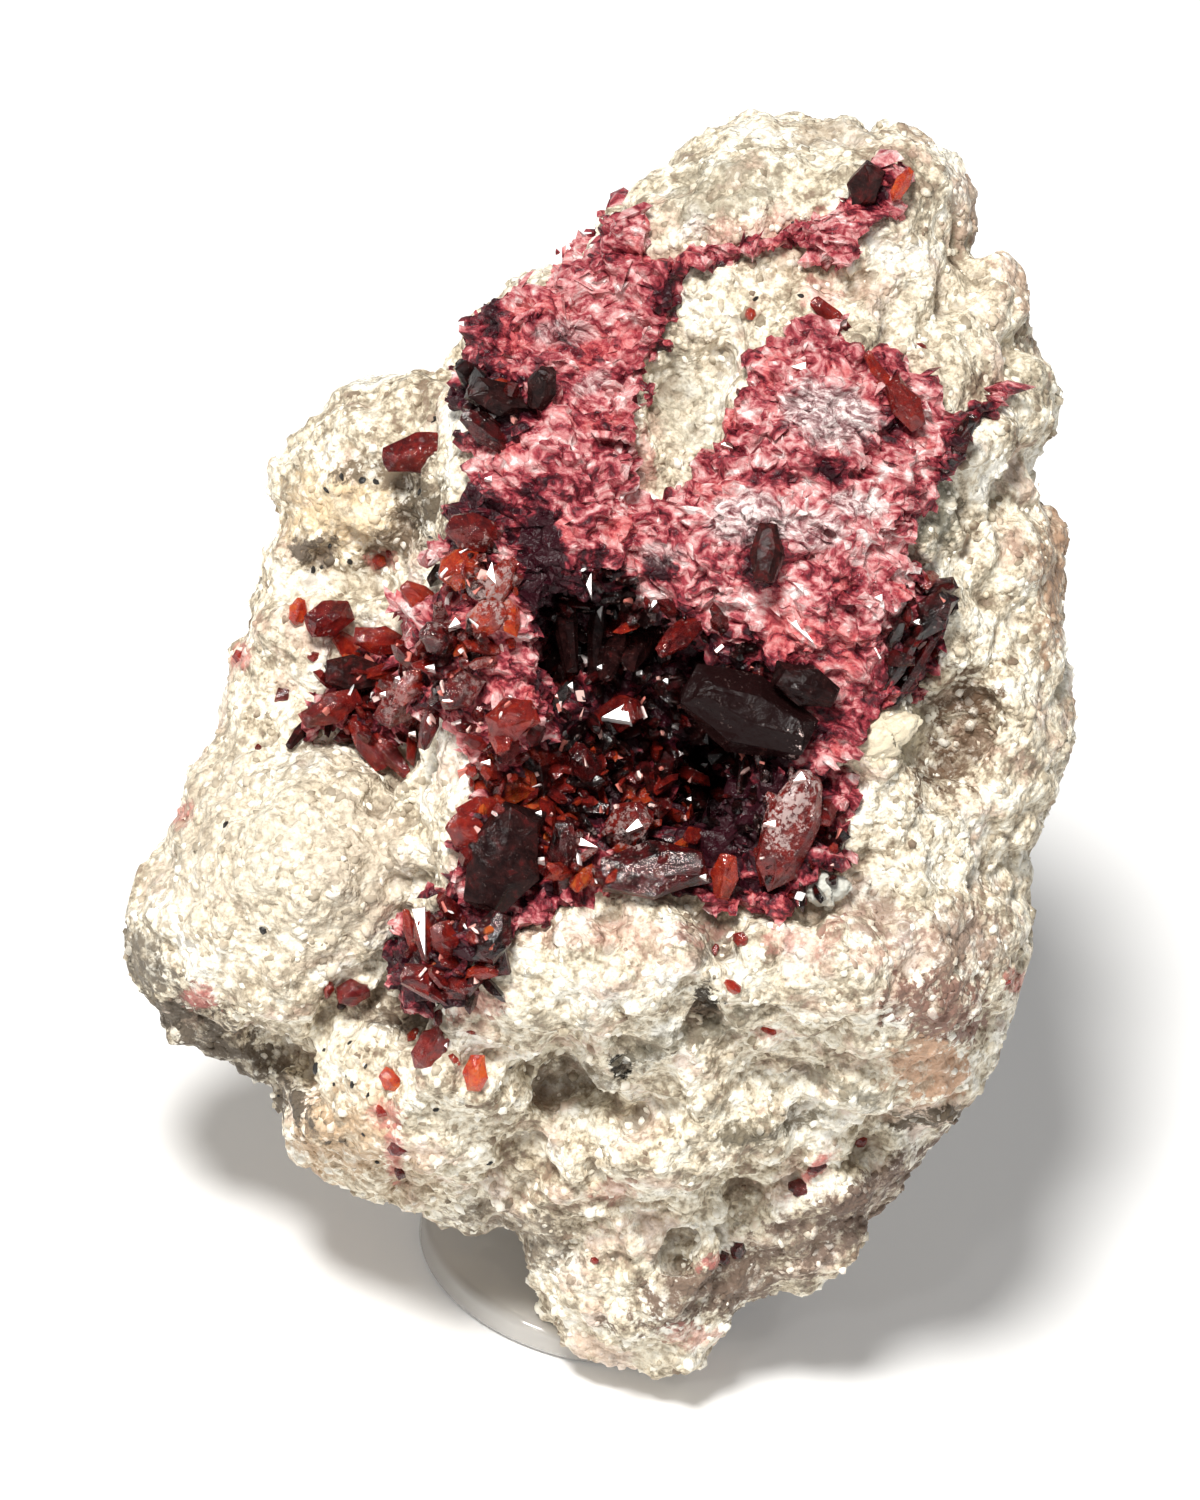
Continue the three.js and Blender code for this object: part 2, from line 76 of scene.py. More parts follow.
FACE_LEAN = math.radians(34)
FACE_ROLL = math.radians(16)
FACE = (Matrix.Rotation(math.radians(90) - FACE_LEAN, 3, "X")
        @ Matrix.Rotation(FACE_ROLL, 3, "Z"))  # turns u, v, w into the scene's own axes
TO_FACE = np.array(FACE)  # a row of points times this gives their u, v, w
OUTWARD = FACE @ Vector((0, 0, 1))
TOWARDS_SUN = Vector((-0.25, -0.55, 0.95)).normalized()


def face_point(u, v, w):
    """A place of the face, in metres, in the scene's own axes."""
    return FACE @ Vector((u, v, w)) * MM


def turned_in_face(degrees):
    """A turn within the face, about the way out of it."""
    return Matrix.Rotation(math.radians(degrees), 3, "Z")


# ------------------------------------------------------------ where things are, in the face

# The ground that roselite covers, as (u, v).
ROSELITE_GROUND = [
    (2.4, 40.9), (3.4, 39), (5.5, 39.4), (8.1, 40.4), (10, 41), (11.2, 42.4), (12.7, 42.3),
    (12.7, 40.6), (11.4, 39.6), (10.8, 37.7), (8.1, 38.6), (4.7, 38), (4.3, 36), (2.9, 34.4),
    (2.2, 31.8), (3, 29.6), (4.5, 30.3), (5.6, 32), (6.6, 34.4), (8.3, 36.9), (10.4, 36),
    (11.8, 34.3), (13.5, 33.6), (14.6, 32.8), (15.7, 33.8), (16.6, 33.3), (15.5, 31.9),
    (13.8, 30.1), (13, 28.8), (12.7, 26.9), (14.2, 25.8), (14.2, 23.4), (12.5, 21.6), (10.4, 19.6),
    (11.3, 18.1), (10.6, 16.2), (8.5, 14.3), (7.8, 13.1), (7, 13.4), (5.5, 14), (1.7, 14.2),
    (-0.6, 13.7), (-2.2, 12.3), (-3.3, 11.6), (-3.8, 10.3), (-5.5, 10.3), (-6.7, 11.4),
    (-6.5, 13.9), (-5.2, 14), (-4.6, 17.4), (-4, 19.3), (-5.2, 21), (-6.3, 20.8), (-6.8, 19),
    (-8.5, 20.4), (-11, 20.2), (-10.2, 21.9), (-9.2, 22.9), (-8, 24.6), (-6.4, 24.3), (-6.5, 26.4),
    (-4.8, 26), (-5.2, 27.4), (-4.4, 28.9), (-3.8, 30.4), (-4.7, 32.6), (-4.6, 34), (-3.6, 35.8),
    (-2.5, 37.1), (-0.6, 38.2),
]

# The larger crystals: shape, centre u, v, length, width, thickness, the way that the crystal
# points in the face, its lean out of it, its turn about its own length, how far its middle
# stands above the ground, and how deep its red is, from 0 (orange) to 1 (black).
CRYSTALS = [
    ("block", 6.4, 21.4, 5.2, 3, 2.2, 155, 6, 15, 2.6, 1.1),
    ("block", 8.6, 22.5, 2.6, 1.6, 1.4, 160, 20, -10, 0.9, 1),
    ("block", -2.7, 16, 4.3, 3, 1.6, 66, 8, 10, 1.2, 0.95),
    ("block", -0.5, 16, 3.1, 1.2, 1.1, 88, 24, 0, 1.3, 0.8),
    ("leaf", -1.5, 19.2, 2.8, 1.1, 0.8, 100, 30, 20, 1, 0.85),
    ("plate", 3, 15.5, 4.2, 2.3, 1.1, 6, -6, -20, 0.9, 0.76),
    ("block", 1.9, 17.2, 2.2, 1.7, 1.2, 35, 30, 0, 1.1, 0.5),
    ("lens", -2.7, 18.6, 2.5, 1.7, 1.2, 190, 12, 0, 0.8, 0.16),
    ("lens", -4.1, 16.9, 1.8, 1.4, 0.9, 140, 20, 0, 0.6, 0.45),
    ("lens", -2.4, 21.2, 2, 1.7, 1.2, 20, 15, 0, 0.8, 0.45),
    ("block", -0.4, 25, 4.2, 0.9, 0.9, 95, 12, 20, 0.9, 0.97),
    ("block", 0.8, 24.5, 3.8, 0.8, 0.8, 86, 14, 45, 1, 0.97),
    ("leaf", 1.4, 23.8, 3.4, 1.1, 0.8, 255, 45, 30, 1.2, 0.95),
    ("leaf", 2.6, 24.2, 3.6, 1.2, 0.8, 235, 42, -20, 1.4, 0.95),
    ("leaf", 4, 24.4, 3, 1, 0.8, 220, 38, 10, 1, 0.6),
    ("block", 1.6, 21.4, 2.2, 1.4, 1.1, 15, 45, 0, 1.1, 0.6),
    ("block", 0.4, 19.4, 2.2, 1.2, 1, 120, 45, 0, 1, 0.75),
    ("block", 3.2, 19.4, 2.2, 1.3, 1, 50, 42, 0, 1, 0.8),
    ("lens", -4.3, 26.8, 1.8, 1.6, 1.2, 180, 18, 0, 0.7, 0.22),
    ("lens", -3.9, 28.2, 2.1, 1.5, 1.1, 160, 12, 0, 0.6, 0.6),
    ("plate", -3, 26.2, 2.3, 1.1, 0.8, 60, 18, 25, 0.9, 0.35),
    ("plate", 8, 17, 4.9, 2.1, 1.4, 68, 8, 20, 1, 0.55),
    ("leaf", 5.6, 15.3, 2, 1.1, 0.9, 80, 30, 0, 0.7, 0.3),
    ("lens", -7.5, 24.2, 2, 1.2, 0.9, 170, 18, 0, 0.7, 0.45),
    ("plate", -8.5, 22.9, 2.3, 1.5, 0.9, 175, 20, 15, 0.8, 0.9),
    ("leaf", -9.3, 21.6, 2.5, 1.2, 0.9, 205, 15, 0, 0.7, 0.55),
    ("leaf", -10.5, 20.7, 1.6, 0.5, 0.4, 232, 15, 0, 0.4, 0.9),
    ("leaf", -7.9, 20.3, 2.4, 1, 0.7, 300, 12, 0, 0.7, 0.5),
    ("leaf", -7.1, 19.9, 2.4, 0.8, 0.6, 312, 20, 20, 0.8, 0.45),
    ("lens", -6.8, 21.7, 1.9, 1.5, 1.1, 230, 25, 0, 0.8, 0.6),
    ("leaf", -5.8, 25.7, 2.1, 1, 0.7, 142, 20, 10, 0.8, 0.35),
    ("lens", -5.1, 24.2, 1.8, 1.3, 1, 150, 25, 0, 0.8, 0.7),
    ("lens", -3.4, 25, 1.9, 1.3, 1, 30, 25, 0, 0.8, 0.3),
    ("block", -4.3, 22.3, 1.9, 1.4, 1, 200, 25, 0, 0.8, 0.7),
    ("plate", -5.7, 13, 2.2, 0.9, 0.6, 97, 20, -30, 0.8, 0.45),
    ("leaf", -6.3, 13.2, 1.8, 0.5, 0.4, 100, 20, 20, 0.6, 0.35),
    ("leaf", -4.9, 12.8, 1.8, 1.1, 0.8, 118, 25, 0, 0.8, 0.5),
    ("plate", -5.2, 11.2, 3, 1.4, 0.9, 165, 10, 20, 0.7, 0.6),
    ("lens", -4.1, 10.9, 1, 0.8, 0.6, 30, 20, 0, 0.5, 0.4),
    ("block", -3.2, 12.8, 2, 1.5, 1.1, 250, 15, 0, 0.7, 0.85),
    ("block", 10.9, 41.3, 2, 1.3, 1, 60, 25, 0, 0.6, 0.9),
    ("leaf", 12.3, 41.4, 1.5, 0.6, 0.5, 58, 20, 0, 0.4, 0.2),
    ("leaf", 12.2, 23.3, 3.8, 0.7, 0.6, 57, 5, 10, 0.6, 0.85),
    ("leaf", 12.9, 23.2, 3.4, 0.5, 0.5, 58, 5, -20, 0.6, 0.8),
    ("block", 13.5, 25.2, 2.1, 1.4, 1, 50, 15, 0, 0.6, 0.85),
    ("plate", 12.4, 33.1, 2.2, 1.2, 0.8, 120, 15, 0, 0.3, 0.5),
    ("leaf", 11.5, 34.1, 2.2, 0.6, 0.5, 122, 10, 0, 0.2, 0.4),
    ("leaf", 9.7, 36.3, 2.2, 0.8, 0.5, 135, 8, 0, 0.2, 0.5),
    ("leaf", 14.4, 31.6, 2.5, 0.9, 0.6, 60, 10, 0, 0.5, 0.85),
    ("block", -2.9, 33.3, 2.6, 1.4, 1.1, 158, 14, 10, 0.8, 0.95),
    ("block", -1.3, 33.7, 1.7, 1.2, 1, 70, 30, 0, 0.8, 0.95),
    ("leaf", -3.4, 32, 2.4, 1, 0.8, 140, 15, 0, 0.6, 0.75),
    ("plate", 7.2, 27.4, 2.4, 1.3, 0.9, 265, 20, 10, 0.6, 0.9),
]

BLACKEST = 0.9  # crystals of this depth and over are nearly black

# Crystal faces turned to catch the sun, with highlights painted in their colour: (u, v), length,
# width, the way the face points and how white its painted highlight is.
GLEAMS = [
    (1.5, 21.3, 1.1, 0.85, 10, 0.9), (-5.8, 13.1, 2, 0.55, 98, 0.6), (2.1, 17, 0.9, 0.4, 35, 0.5),
    (0.5, 16.4, 0.8, 0.35, 160, 0.4), (0.5, 26.2, 0.2, 1, 0, 0.9), (0.9, 25.2, 0.2, 0.6, -10, 0.9),
    (0.4, 24.4, 0.3, 0.2, 40, 0.9), (-4.6, 24.7, 0.5, 0.35, 40, 0.6),
    (-6.7, 22.7, 0.35, 0.3, 0, 0.6), (-5.5, 23.1, 0.4, 0.25, 0, 0.6), (-4.5, 21, 0.4, 0.3, 0, 0.5),
    (2.9, 25.4, 0.6, 0.2, 60, 0.9), (8.6, 24.4, 1.2, 0.3, 130, 0.8),
    (12.9, 24.8, 0.4, 0.35, 0, 0.6), (8.4, 34.4, 0.6, 0.4, 0, 0.3), (5.7, 31.5, 0.5, 0.4, 0, 0.3),
    (-3.2, 26.6, 0.3, 1, 10, 0.3), (8.4, 18.9, 0.5, 0.4, 30, 0.5), (7.3, 17.2, 0.5, 0.3, 0, 0.5),
    (-1.4, 17.6, 0.25, 0.2, 0, 0.9), (-5, 8.9, 0.3, 0.5, 0, 0.5), (4.3, 18.1, 0.2, 0.2, 0, 0.9),
    (-3.3, 30.2, 0.3, 0.2, 0, 0.7), (2.4, 22.9, 0.25, 0.2, 0, 0.9), (-0.2, 22.4, 0.2, 0.3, 0, 0.9),
    (3.4, 22.6, 0.2, 0.3, 0, 0.9), (-2.4, 22, 0.3, 0.2, 0, 0.7), (4.8, 15.2, 0.25, 0.2, 0, 0.7),
    (0.9, 23.1, 0.2, 0.2, 0, 0.9), (-3.4, 19.5, 0.4, 0.25, 0, 0.3), (-6.2, 20.6, 0.3, 0.2, 0, 0.5),
    (-7.3, 22.1, 0.25, 0.2, 0, 0.5), (11.4, 25.7, 0.3, 0.3, 0, 0.6),
]

# Crystals that grow by themselves on bare rock, in the same terms as the larger ones.
LONE_CRYSTALS = [
    ("lens", -5.9, 31.3, 3, 1.6, 1.2, 192, 10, 0, 0.7, 0.62),
    ("lens", -9.4, 25, 1.9, 1.5, 1, 200, 12, 0, 0.6, 0.6),
    ("leaf", -10.6, 25.3, 1.1, 0.7, 0.5, 75, 15, 0, 0.3, 0.2),
    ("block", -8.5, 10.8, 1.3, 1.1, 0.9, 190, 15, 0, 0.5, 0.6),
    ("leaf", -5.5, 8.8, 2.1, 1.2, 0.9, 50, 20, 0, 0.6, 0.55),
    ("lens", -3.8, 7.8, 1.5, 1, 0.8, 85, 25, 0, 0.5, 0.12),
    ("lens", -7, 7.5, 1.1, 0.9, 0.7, 140, 30, 0, 0.4, 0.15),
]
LONE_NODES = [
    "crystal_upper_left", "crystal_left", "crystal_left_edge", "crystal_lower_left",
    "crystal_lower_middle", "crystal_lower_right", "crystal_lowest",
]

# Smooth pale lumps: (u, v), length, width, turn, and whether grey (0) or creamy (1).
PALE_LUMPS = [(11.7, 20.6, 3, 1.8, 28, 1), (9.5, 14.8, 1.9, 1.5, 10, 0)]

# Black specks on the rock, as (u, v).
SPECKS = [
    (-9.6, 8.6), (-8.6, 8.9), (-8.7, 7.65), (-9.2, 7.3), (-8.5, 7.3), (-7.9, 6.9), (-9, 6),
    (-5.3, 6.4), (-7.6, 4.3), (-3.3, 4.3), (-2.5, 8), (-8.9, 30.4), (-8.1, 30.3), (-7.6, 30.2),
    (-9.5, 29.9), (-9.7, 27), (-10, 26.9), (-8.6, 27.2), (-9.4, 27.8), (-5.9, 29.8), (-5.5, 28.1),
    (-5.4, 32.6), (-11.9, 13.2), (-10, 18.4), (-13.3, 17.2), (-11.4, 6.8), (8.2, 39.9), (8.5, 37.2),
    (6.8, 37.1), (5.6, 10.5), (-8.1, 5.4), (-9.9, 7.9), (-8, 8),
]

# Crumbs of roselite on the rock: (u, v), size and depth of red.
CRUMBS = [
    (-12.9, 23.6, 0.6, 0.4), (-11.1, 22.2, 0.9, 0.6), (-7.5, 27.2, 0.8, 0.3),
    (-7.1, 27.5, 0.5, 0.4), (5.9, 11.1, 0.8, 0.35), (7.3, 9.4, 0.7, 0.3), (5.2, 12.4, 0.6, 0.4),
    (8.5, 3.3, 0.9, 0.75), (9.2, 4.1, 0.8, 0.65), (0.7, 0.5, 0.5, 0.5), (-6.2, 9.2, 0.6, 0.4),
    (-7.4, 6.3, 0.7, 0.4), (-6.8, 4.9, 0.9, 0.6), (-6.7, 3.9, 0.7, 0.7), (-9.4, 11, 1, 0.35),
    (-8.9, 10.3, 0.6, 0.8), (6.2, 12.9, 0.8, 0.4), (16.4, 11.2, 0.5, 0.4), (10.9, 5.1, 0.8, 0.5),
    (5.6, 0.6, 0.8, 0.75), (6.2, 0.9, 0.7, 0.8), (-3.9, 9.4, 0.6, 0.5), (-5.2, 9.9, 0.6, 0.7),
    (-4.6, 8.3, 0.6, 0.3), (13.1, 35.3, 0.6, 0.5), (15.9, 33.6, 0.9, 0.6), (-10, 23.6, 0.6, 0.5),
    (-12.1, 20.1, 0.5, 0.6), (6.6, 36.5, 0.7, 0.3),
]


# ------------------------------------------------------------ settings a user would change

class SpecimenSizes(bpy.types.PropertyGroup):
    grain: bpy.props.FloatProperty(
        name="Grain", description="Typical size of a rock grain",
        default=0.33 * MM, min=0.1 * MM, max=2 * MM, unit="LENGTH", precision=5)
    grain_count: bpy.props.IntProperty(
        name="Grains", description="Loose-looking grains set on the rock",
        default=9600, min=100, max=9900)
    druse_count: bpy.props.IntProperty(
        name="Small crystals", description="Small crystals set in the pocket and round it",
        default=620, min=10, max=2000)
    gleam_count: bpy.props.IntProperty(
        name="Small gleams", description="Small crystal faces that catch the light",
        default=150, min=10, max=1000)
    shard_count: bpy.props.IntProperty(
        name="Shards", description="Cleavage flakes on the massive roselite",
        default=5200, min=100, max=12000)
    base_diameter: bpy.props.FloatProperty(
        name="Base", description="Diameter of the clear base", default=12.7 * MM,
        unit="LENGTH", precision=5)


class SpecimenColours(bpy.types.PropertyGroup):
    cream: bpy.props.FloatVectorProperty(
        name="Cream", description="The rock's main colour", subtype="COLOR",
        default=(0.70, 0.605, 0.46), min=0, max=1)
    pale: bpy.props.FloatVectorProperty(
        name="Pale grain", description="The rock's lightest grains", subtype="COLOR",
        default=(0.94, 0.89, 0.76), min=0, max=1)
    tan: bpy.props.FloatVectorProperty(
        name="Tan", description="Stained ground between the grains", subtype="COLOR",
        default=(0.28, 0.2, 0.14), min=0, max=1)
    pink: bpy.props.FloatVectorProperty(
        name="Pink", description="Massive roselite where it is palest", subtype="COLOR",
        default=(0.56, 0.21, 0.213), min=0, max=1)
    wine: bpy.props.FloatVectorProperty(
        name="Wine", description="Roselite crystals of middling depth", subtype="COLOR",
        default=(0.15, 0.012, 0.013), min=0, max=1)


# ------------------------------------------------------------ shader expressions

ENDLESS = 1e3  # how deep a spot reaches, in metres


class Shade:
    """A socket of a material's node tree, for use in Python expressions."""

    def __init__(self, tree, socket=None):
        self.tree = tree
        self.socket = socket

    def node(self, kind, settings=None, inputs=None, out=0):
        """Adds a node with its settings and its sockets' values or links."""
        made = self.tree.nodes.new(kind)
        for name, value in (settings or {}).items():
            if name == "stops":
                set_stops(made.color_ramp, value)
            else:
                setattr(made, name, value)
        feed(made, inputs or {})
        return Shade(self.tree, made.outputs[out])

    def math(self, operation, *values):
        return self.node("ShaderNodeMath", {"operation": operation}, dict(enumerate(values)))

    def __add__(self, other):
        return self.math("ADD", self, other)

    def __sub__(self, other):
        return self.math("SUBTRACT", self, other)

    def __rsub__(self, other):
        return self.math("SUBTRACT", other, self)

    def __mul__(self, other):
        return self.math("MULTIPLY", self, other)

    __radd__ = __add__
    __rmul__ = __mul__

    def ramp(self, *stops):
        """A colour chosen by this value from stops, each a place and a colour."""
        return self.node("ShaderNodeValToRGB", {"stops": stops}, {"Fac": self})

    def between(self, low, high):
        """0 below low, 1 above high."""
        return self.node("ShaderNodeMapRange", {"interpolation_type": "SMOOTHSTEP"},
                         {"Value": self, "From Min": low, "From Max": high})

    def mix(self, colour, amount):
        """This colour turned towards another by an amount."""
        return self.node("ShaderNodeMix", {"data_type": "RGBA", "clamp_factor": True},
                         {"Factor": amount, 6: self, 7: colour}, out=2)

    def noise(self, size, detail=3.0, rough=0.55):
        """Cloudy noise with features of a size in millimetres, read at these coordinates."""
        return self.node("ShaderNodeTexNoise", None,
                         {"Vector": self, "Scale": 1 / (size * MM), "Detail": detail,
                          "Roughness": rough})

    def bent(self, size, reach):
        """These coordinates pushed about by noise, its size and reach in millimetres."""
        push = Shade(self.tree, self.noise(size, 2).socket.node.outputs["Color"])
        return self.node("ShaderNodeVectorMath", {"operation": "MULTIPLY_ADD"},
                         {0: push, 1: (reach * MM,) * 3, 2: self})

    def cells(self, size, feature):
        """How far it is to the middle or the edge of cells of a size in millimetres."""
        return self.node("ShaderNodeTexVoronoi", {"feature": feature},
                         {"Vector": self, "Scale": 1 / (size * MM)}, out="Distance")

    def spot(self, ragged, u, v, across, along, turn):
        """1 at (u, v) of the face, falling to 0 at a spot's ragged edge, whatever the depth."""
        here = self.node("ShaderNodeMapping", {"vector_type": "TEXTURE"},
                         {"Vector": self, "Location": (u * MM, v * MM, 0),
                          "Rotation": (0, 0, math.radians(turn)),
                          "Scale": (across * MM, along * MM, ENDLESS)})
        far = here.node("ShaderNodeVectorMath", {"operation": "LENGTH"}, {0: here}, out="Value")
        return 1 - (far + ragged).between(0.7, 1.2)


def feed(node, sockets):
    """Links a node's sockets to expressions, or sets them to numbers and colours."""
    for name, value in sockets.items():
        socket = node.inputs[name]
        if isinstance(value, Shade):
            value.tree.links.new(value.socket, socket)
        elif isinstance(socket.default_value, bpy.types.bpy_prop_array):
            socket.default_value = [*value, 1.0][:len(socket.default_value)]
        else:
            socket.default_value = value


def set_stops(ramp, stops):
    """Gives a colour ramp its stops, each a place and a colour."""
    while len(ramp.elements) < len(stops):
        ramp.elements.new(1.0)
    for element, (place, colour) in zip(ramp.elements, stops):
        element.position = place
        element.color = (*colour, 1.0)


def new_material(name):
    """A material with a Principled shader and Object coordinates to build on."""
    material = bpy.data.materials.new(name)
    material.use_nodes = True
    tree = material.node_tree
    shader = tree.nodes["Principled BSDF"]
    coordinates = Shade(tree).node("ShaderNodeTexCoord", out="Object")
    return material, shader, coordinates


def face_coordinates(coordinates):
    """Object coordinates turned into the crystal face's frame, in metres."""
    turn = FACE.inverted().to_euler()
    return coordinates.node("ShaderNodeMapping", None,
                            {"Vector": coordinates, "Rotation": tuple(turn)})


def attribute(coordinates, name):
    """A value stored on the points of a mesh."""
    return coordinates.node("ShaderNodeAttribute", {"attribute_name": name}, out="Fac")


def relief(shader, *layers):
    """Bump layers, each a height and its depth in millimetres, coarse to fine."""
    normal = None
    for height, depth in layers:
        inputs = {"Height": height, "Distance": depth * MM, "Strength": 1.0}
        if normal is not None:
            inputs["Normal"] = normal
        normal = height.node("ShaderNodeBump", None, inputs)
    feed(shader, {"Normal": normal})


# Stains of the rock, and painted shade in its pits and creases and under its overhangs: (u, v),
# half-lengths, turn, strength and colour.
STAINS_AND_SHADE = [
    (13.7, 10.3, 2, 1.5, -20, 1.3, (0.27, 0.155, 0.12)),
    (14.8, 12.8, 1.6, 1.4, 0, 0.9, (0.36, 0.24, 0.18)),
    (11.4, 13.6, 2, 0.9, -20, 0.7, (0.36, 0.22, 0.18)),
    (13.4, 7.9, 1.5, 1.2, 0, 1.4, (0.62, 0.4, 0.27)),
    (14.4, 20.6, 1.4, 2.6, -25, 1.1, (0.15, 0.09, 0.055)),
    (12.6, 21.2, 1.2, 0.8, 60, 0.7, (0.12, 0.087, 0.062)),
    (17.2, 37.8, 0.9, 2.2, 30, 0.8, (0.5, 0.34, 0.25)),
    (15, 40.6, 0.9, 1.8, 0, 0.7, (0.5, 0.34, 0.26)),
    (13.6, 43.6, 1.6, 0.6, 0, 0.6, (0.44, 0.3, 0.22)),
    (18.3, 27, 0.9, 3.2, 0, 0.9, (0.42, 0.26, 0.17)),
    (5.5, 41.3, 2.4, 1.3, 20, 0.7, (0.34, 0.3, 0.22)),
    (9.6, 43.4, 2, 0.8, 0, 0.5, (0.4, 0.3, 0.22)),
    (8.2, 38.6, 1.2, 0.9, 0, 0.6, (0.44, 0.32, 0.22)),
    (3.9, 33.6, 1.4, 2.6, 20, 0.5, (0.42, 0.4, 0.32)),
    (12.1, 30.5, 0.9, 1.4, 0, 0.6, (0.25, 0.21, 0.17)),
    (13.7, 29, 1, 1.5, 0, 0.85, (0.15, 0.14, 0.099)),
    (-9, 5.4, 2.2, 1.9, 0, 0.8, (0.56, 0.38, 0.23)),
    (-6.6, 3.6, 1.5, 1.2, 0, 0.6, (0.46, 0.34, 0.22)),
    (-8.8, 29, 2.4, 2, 0, 0.8, (0.74, 0.56, 0.34)), (-7.2, 27.7, 1.4, 0.7, 30, 1, (0.2, 0.15, 0.1)),
    (-6.4, 28.6, 0.6, 1.2, 10, 1, (0.2, 0.14, 0.09)),
    (-7.6, 30.6, 1.6, 0.7, 0, 1.2, (0.2, 0.15, 0.1)),
    (-5.8, 29.4, 0.9, 1.4, 0, 1.2, (0.12, 0.093, 0.062)),
    (-9.9, 27.6, 1, 0.7, 0, 1.2, (0.15, 0.12, 0.093)),
    (-8, 15.8, 2, 2.4, 0, 0.4, (0.48, 0.4, 0.32)),
    (-10.8, 15.5, 5, 4.4, 15, 0.3, (0.62, 0.53, 0.42)),
    (-14.2, 17.5, 1.5, 4.2, -20, 0.4, (0.56, 0.48, 0.38)),
    (-10.5, 19.4, 1.4, 0.5, 30, 0.5, (0.36, 0.3, 0.22)),
    (-15.2, 9.9, 1, 0.8, 0, 0.7, (0.5, 0.29, 0.24)),
    # Painted shadow under the boulder's overhang.
    (-13.6, 8.6, 4.2, 1.3, -38, 1.4, (0.13, 0.105, 0.08)),
    (-16.6, 12.2, 0.9, 2, 25, 1, (0.2, 0.17, 0.13)),
    (-5.6, 9.6, 1.2, 0.8, 0, 0.8, (0.15, 0.11, 0.074)),
    (-7.6, 10, 1.2, 0.5, -15, 0.85, (0.087, 0.056, 0.037)),
    # Painted shade in the valley under the pocket's lip, in the black pit, and in the pit and cleft
    # above it at u 5.
    (0.1, 7.7, 1.8, 0.6, -10, 0.7, (0.17, 0.13, 0.09)),
    (1.7, 8.1, 0.5, 0.55, 0, 1.9, (0.012, 0.0093, 0.0062)),
    (4.9, 10.5, 0.5, 0.9, 0, 1.6, (0.037, 0.028, 0.019)),
    (5, 12.9, 1.1, 0.9, 0, 0.8, (0.14, 0.099, 0.074)), (7, 5.6, 2.4, 0.5, 15, 1, (0.2, 0.17, 0.12)),
    # Painted shade along the thin creases of the lower face, as at (7, 5.6) above, and under the
    # ledge that runs up to the right.
    (4.2, 9.2, 3, 0.5, 20, 0.8, (0.24, 0.21, 0.15)),
    (10.2, 7.2, 2.6, 0.4, -25, 0.8, (0.25, 0.22, 0.16)),
    (9.5, 1.6, 5, 1.3, 30, 1, (0.22, 0.155, 0.12)),
    (13.5, 6, 1.8, 0.35, 10, 1.3, (0.13, 0.1, 0.07)),
    (14.2, 4.9, 1, 0.6, 30, 0.9, (0.2, 0.13, 0.1)),
    (11.6, 3.4, 2.6, 0.6, 35, 1, (0.17, 0.115, 0.09)),
    (5.2, -0.6, 3.6, 1.3, 20, 1.2, (0.2, 0.14, 0.105)),
    # Painted shade along the undercut at the bottom left of the lower face.
    (-2.4, 1.4, 2.6, 1.1, -20, 0.9, (0.2, 0.16, 0.12)),
    (11.9, 20.4, 1.6, 1, 25, 1, (0.86, 0.77, 0.57)),
]

# Pink stains where roselite thins out over the rock.
BLUSHES = [
    (1.5, 13.1, 4.4, 0.5, 0, 0.3), (-14.3, 10.6, 0.7, 0.5, 0, 0.8), (-15, 17.6, 0.5, 0.5, 0, 0.7),
    (16.8, 11.2, 0.5, 0.5, 0, 0.7), (7.9, 12.8, 0.8, 0.5, 0, 0.45), (7.2, 9.3, 0.5, 0.3, 0, 0.6),
    (9.6, 13, 0.4, 0.9, -20, 0.4), (5.2, 0.5, 0.7, 0.3, 25, 0.8), (8.9, 3.8, 1.1, 0.25, 45, 0.9),
    (-12.8, 23.6, 0.4, 0.5, 0, 0.8), (-7.3, 6.2, 0.7, 0.5, 0, 0.7), (-6.9, 4.6, 0.4, 1, 0, 0.8),
    (-7.3, 27.3, 0.6, 0.4, 0, 0.7), (-3.6, 10.4, 1.2, 0.6, 0, 0.5), (11.2, 12.2, 1, 0.6, 0, 0.3),
    (6.6, 39.4, 2.4, 0.8, 10, 0.4), (9.6, 39.3, 1.2, 0.8, 0, 0.35), (9.2, 37.4, 0.8, 0.8, 0, 0.5),
    (1.4, 3.2, 1, 0.5, 0, 0.4), (4.4, -2.4, 1.2, 0.5, 0, 0.5), (2.4, 30.6, 0.7, 1.6, 0, 0.5),
]
BLUSH = (0.60, 0.19, 0.17)
# Where the rock is evenly pale: (u, v), half-lengths and turn.
CALM_GROUND = [(-10.6, 15.4, 5.4, 4.6, 15), (13.8, 36, 2.6, 2.2, 20)]


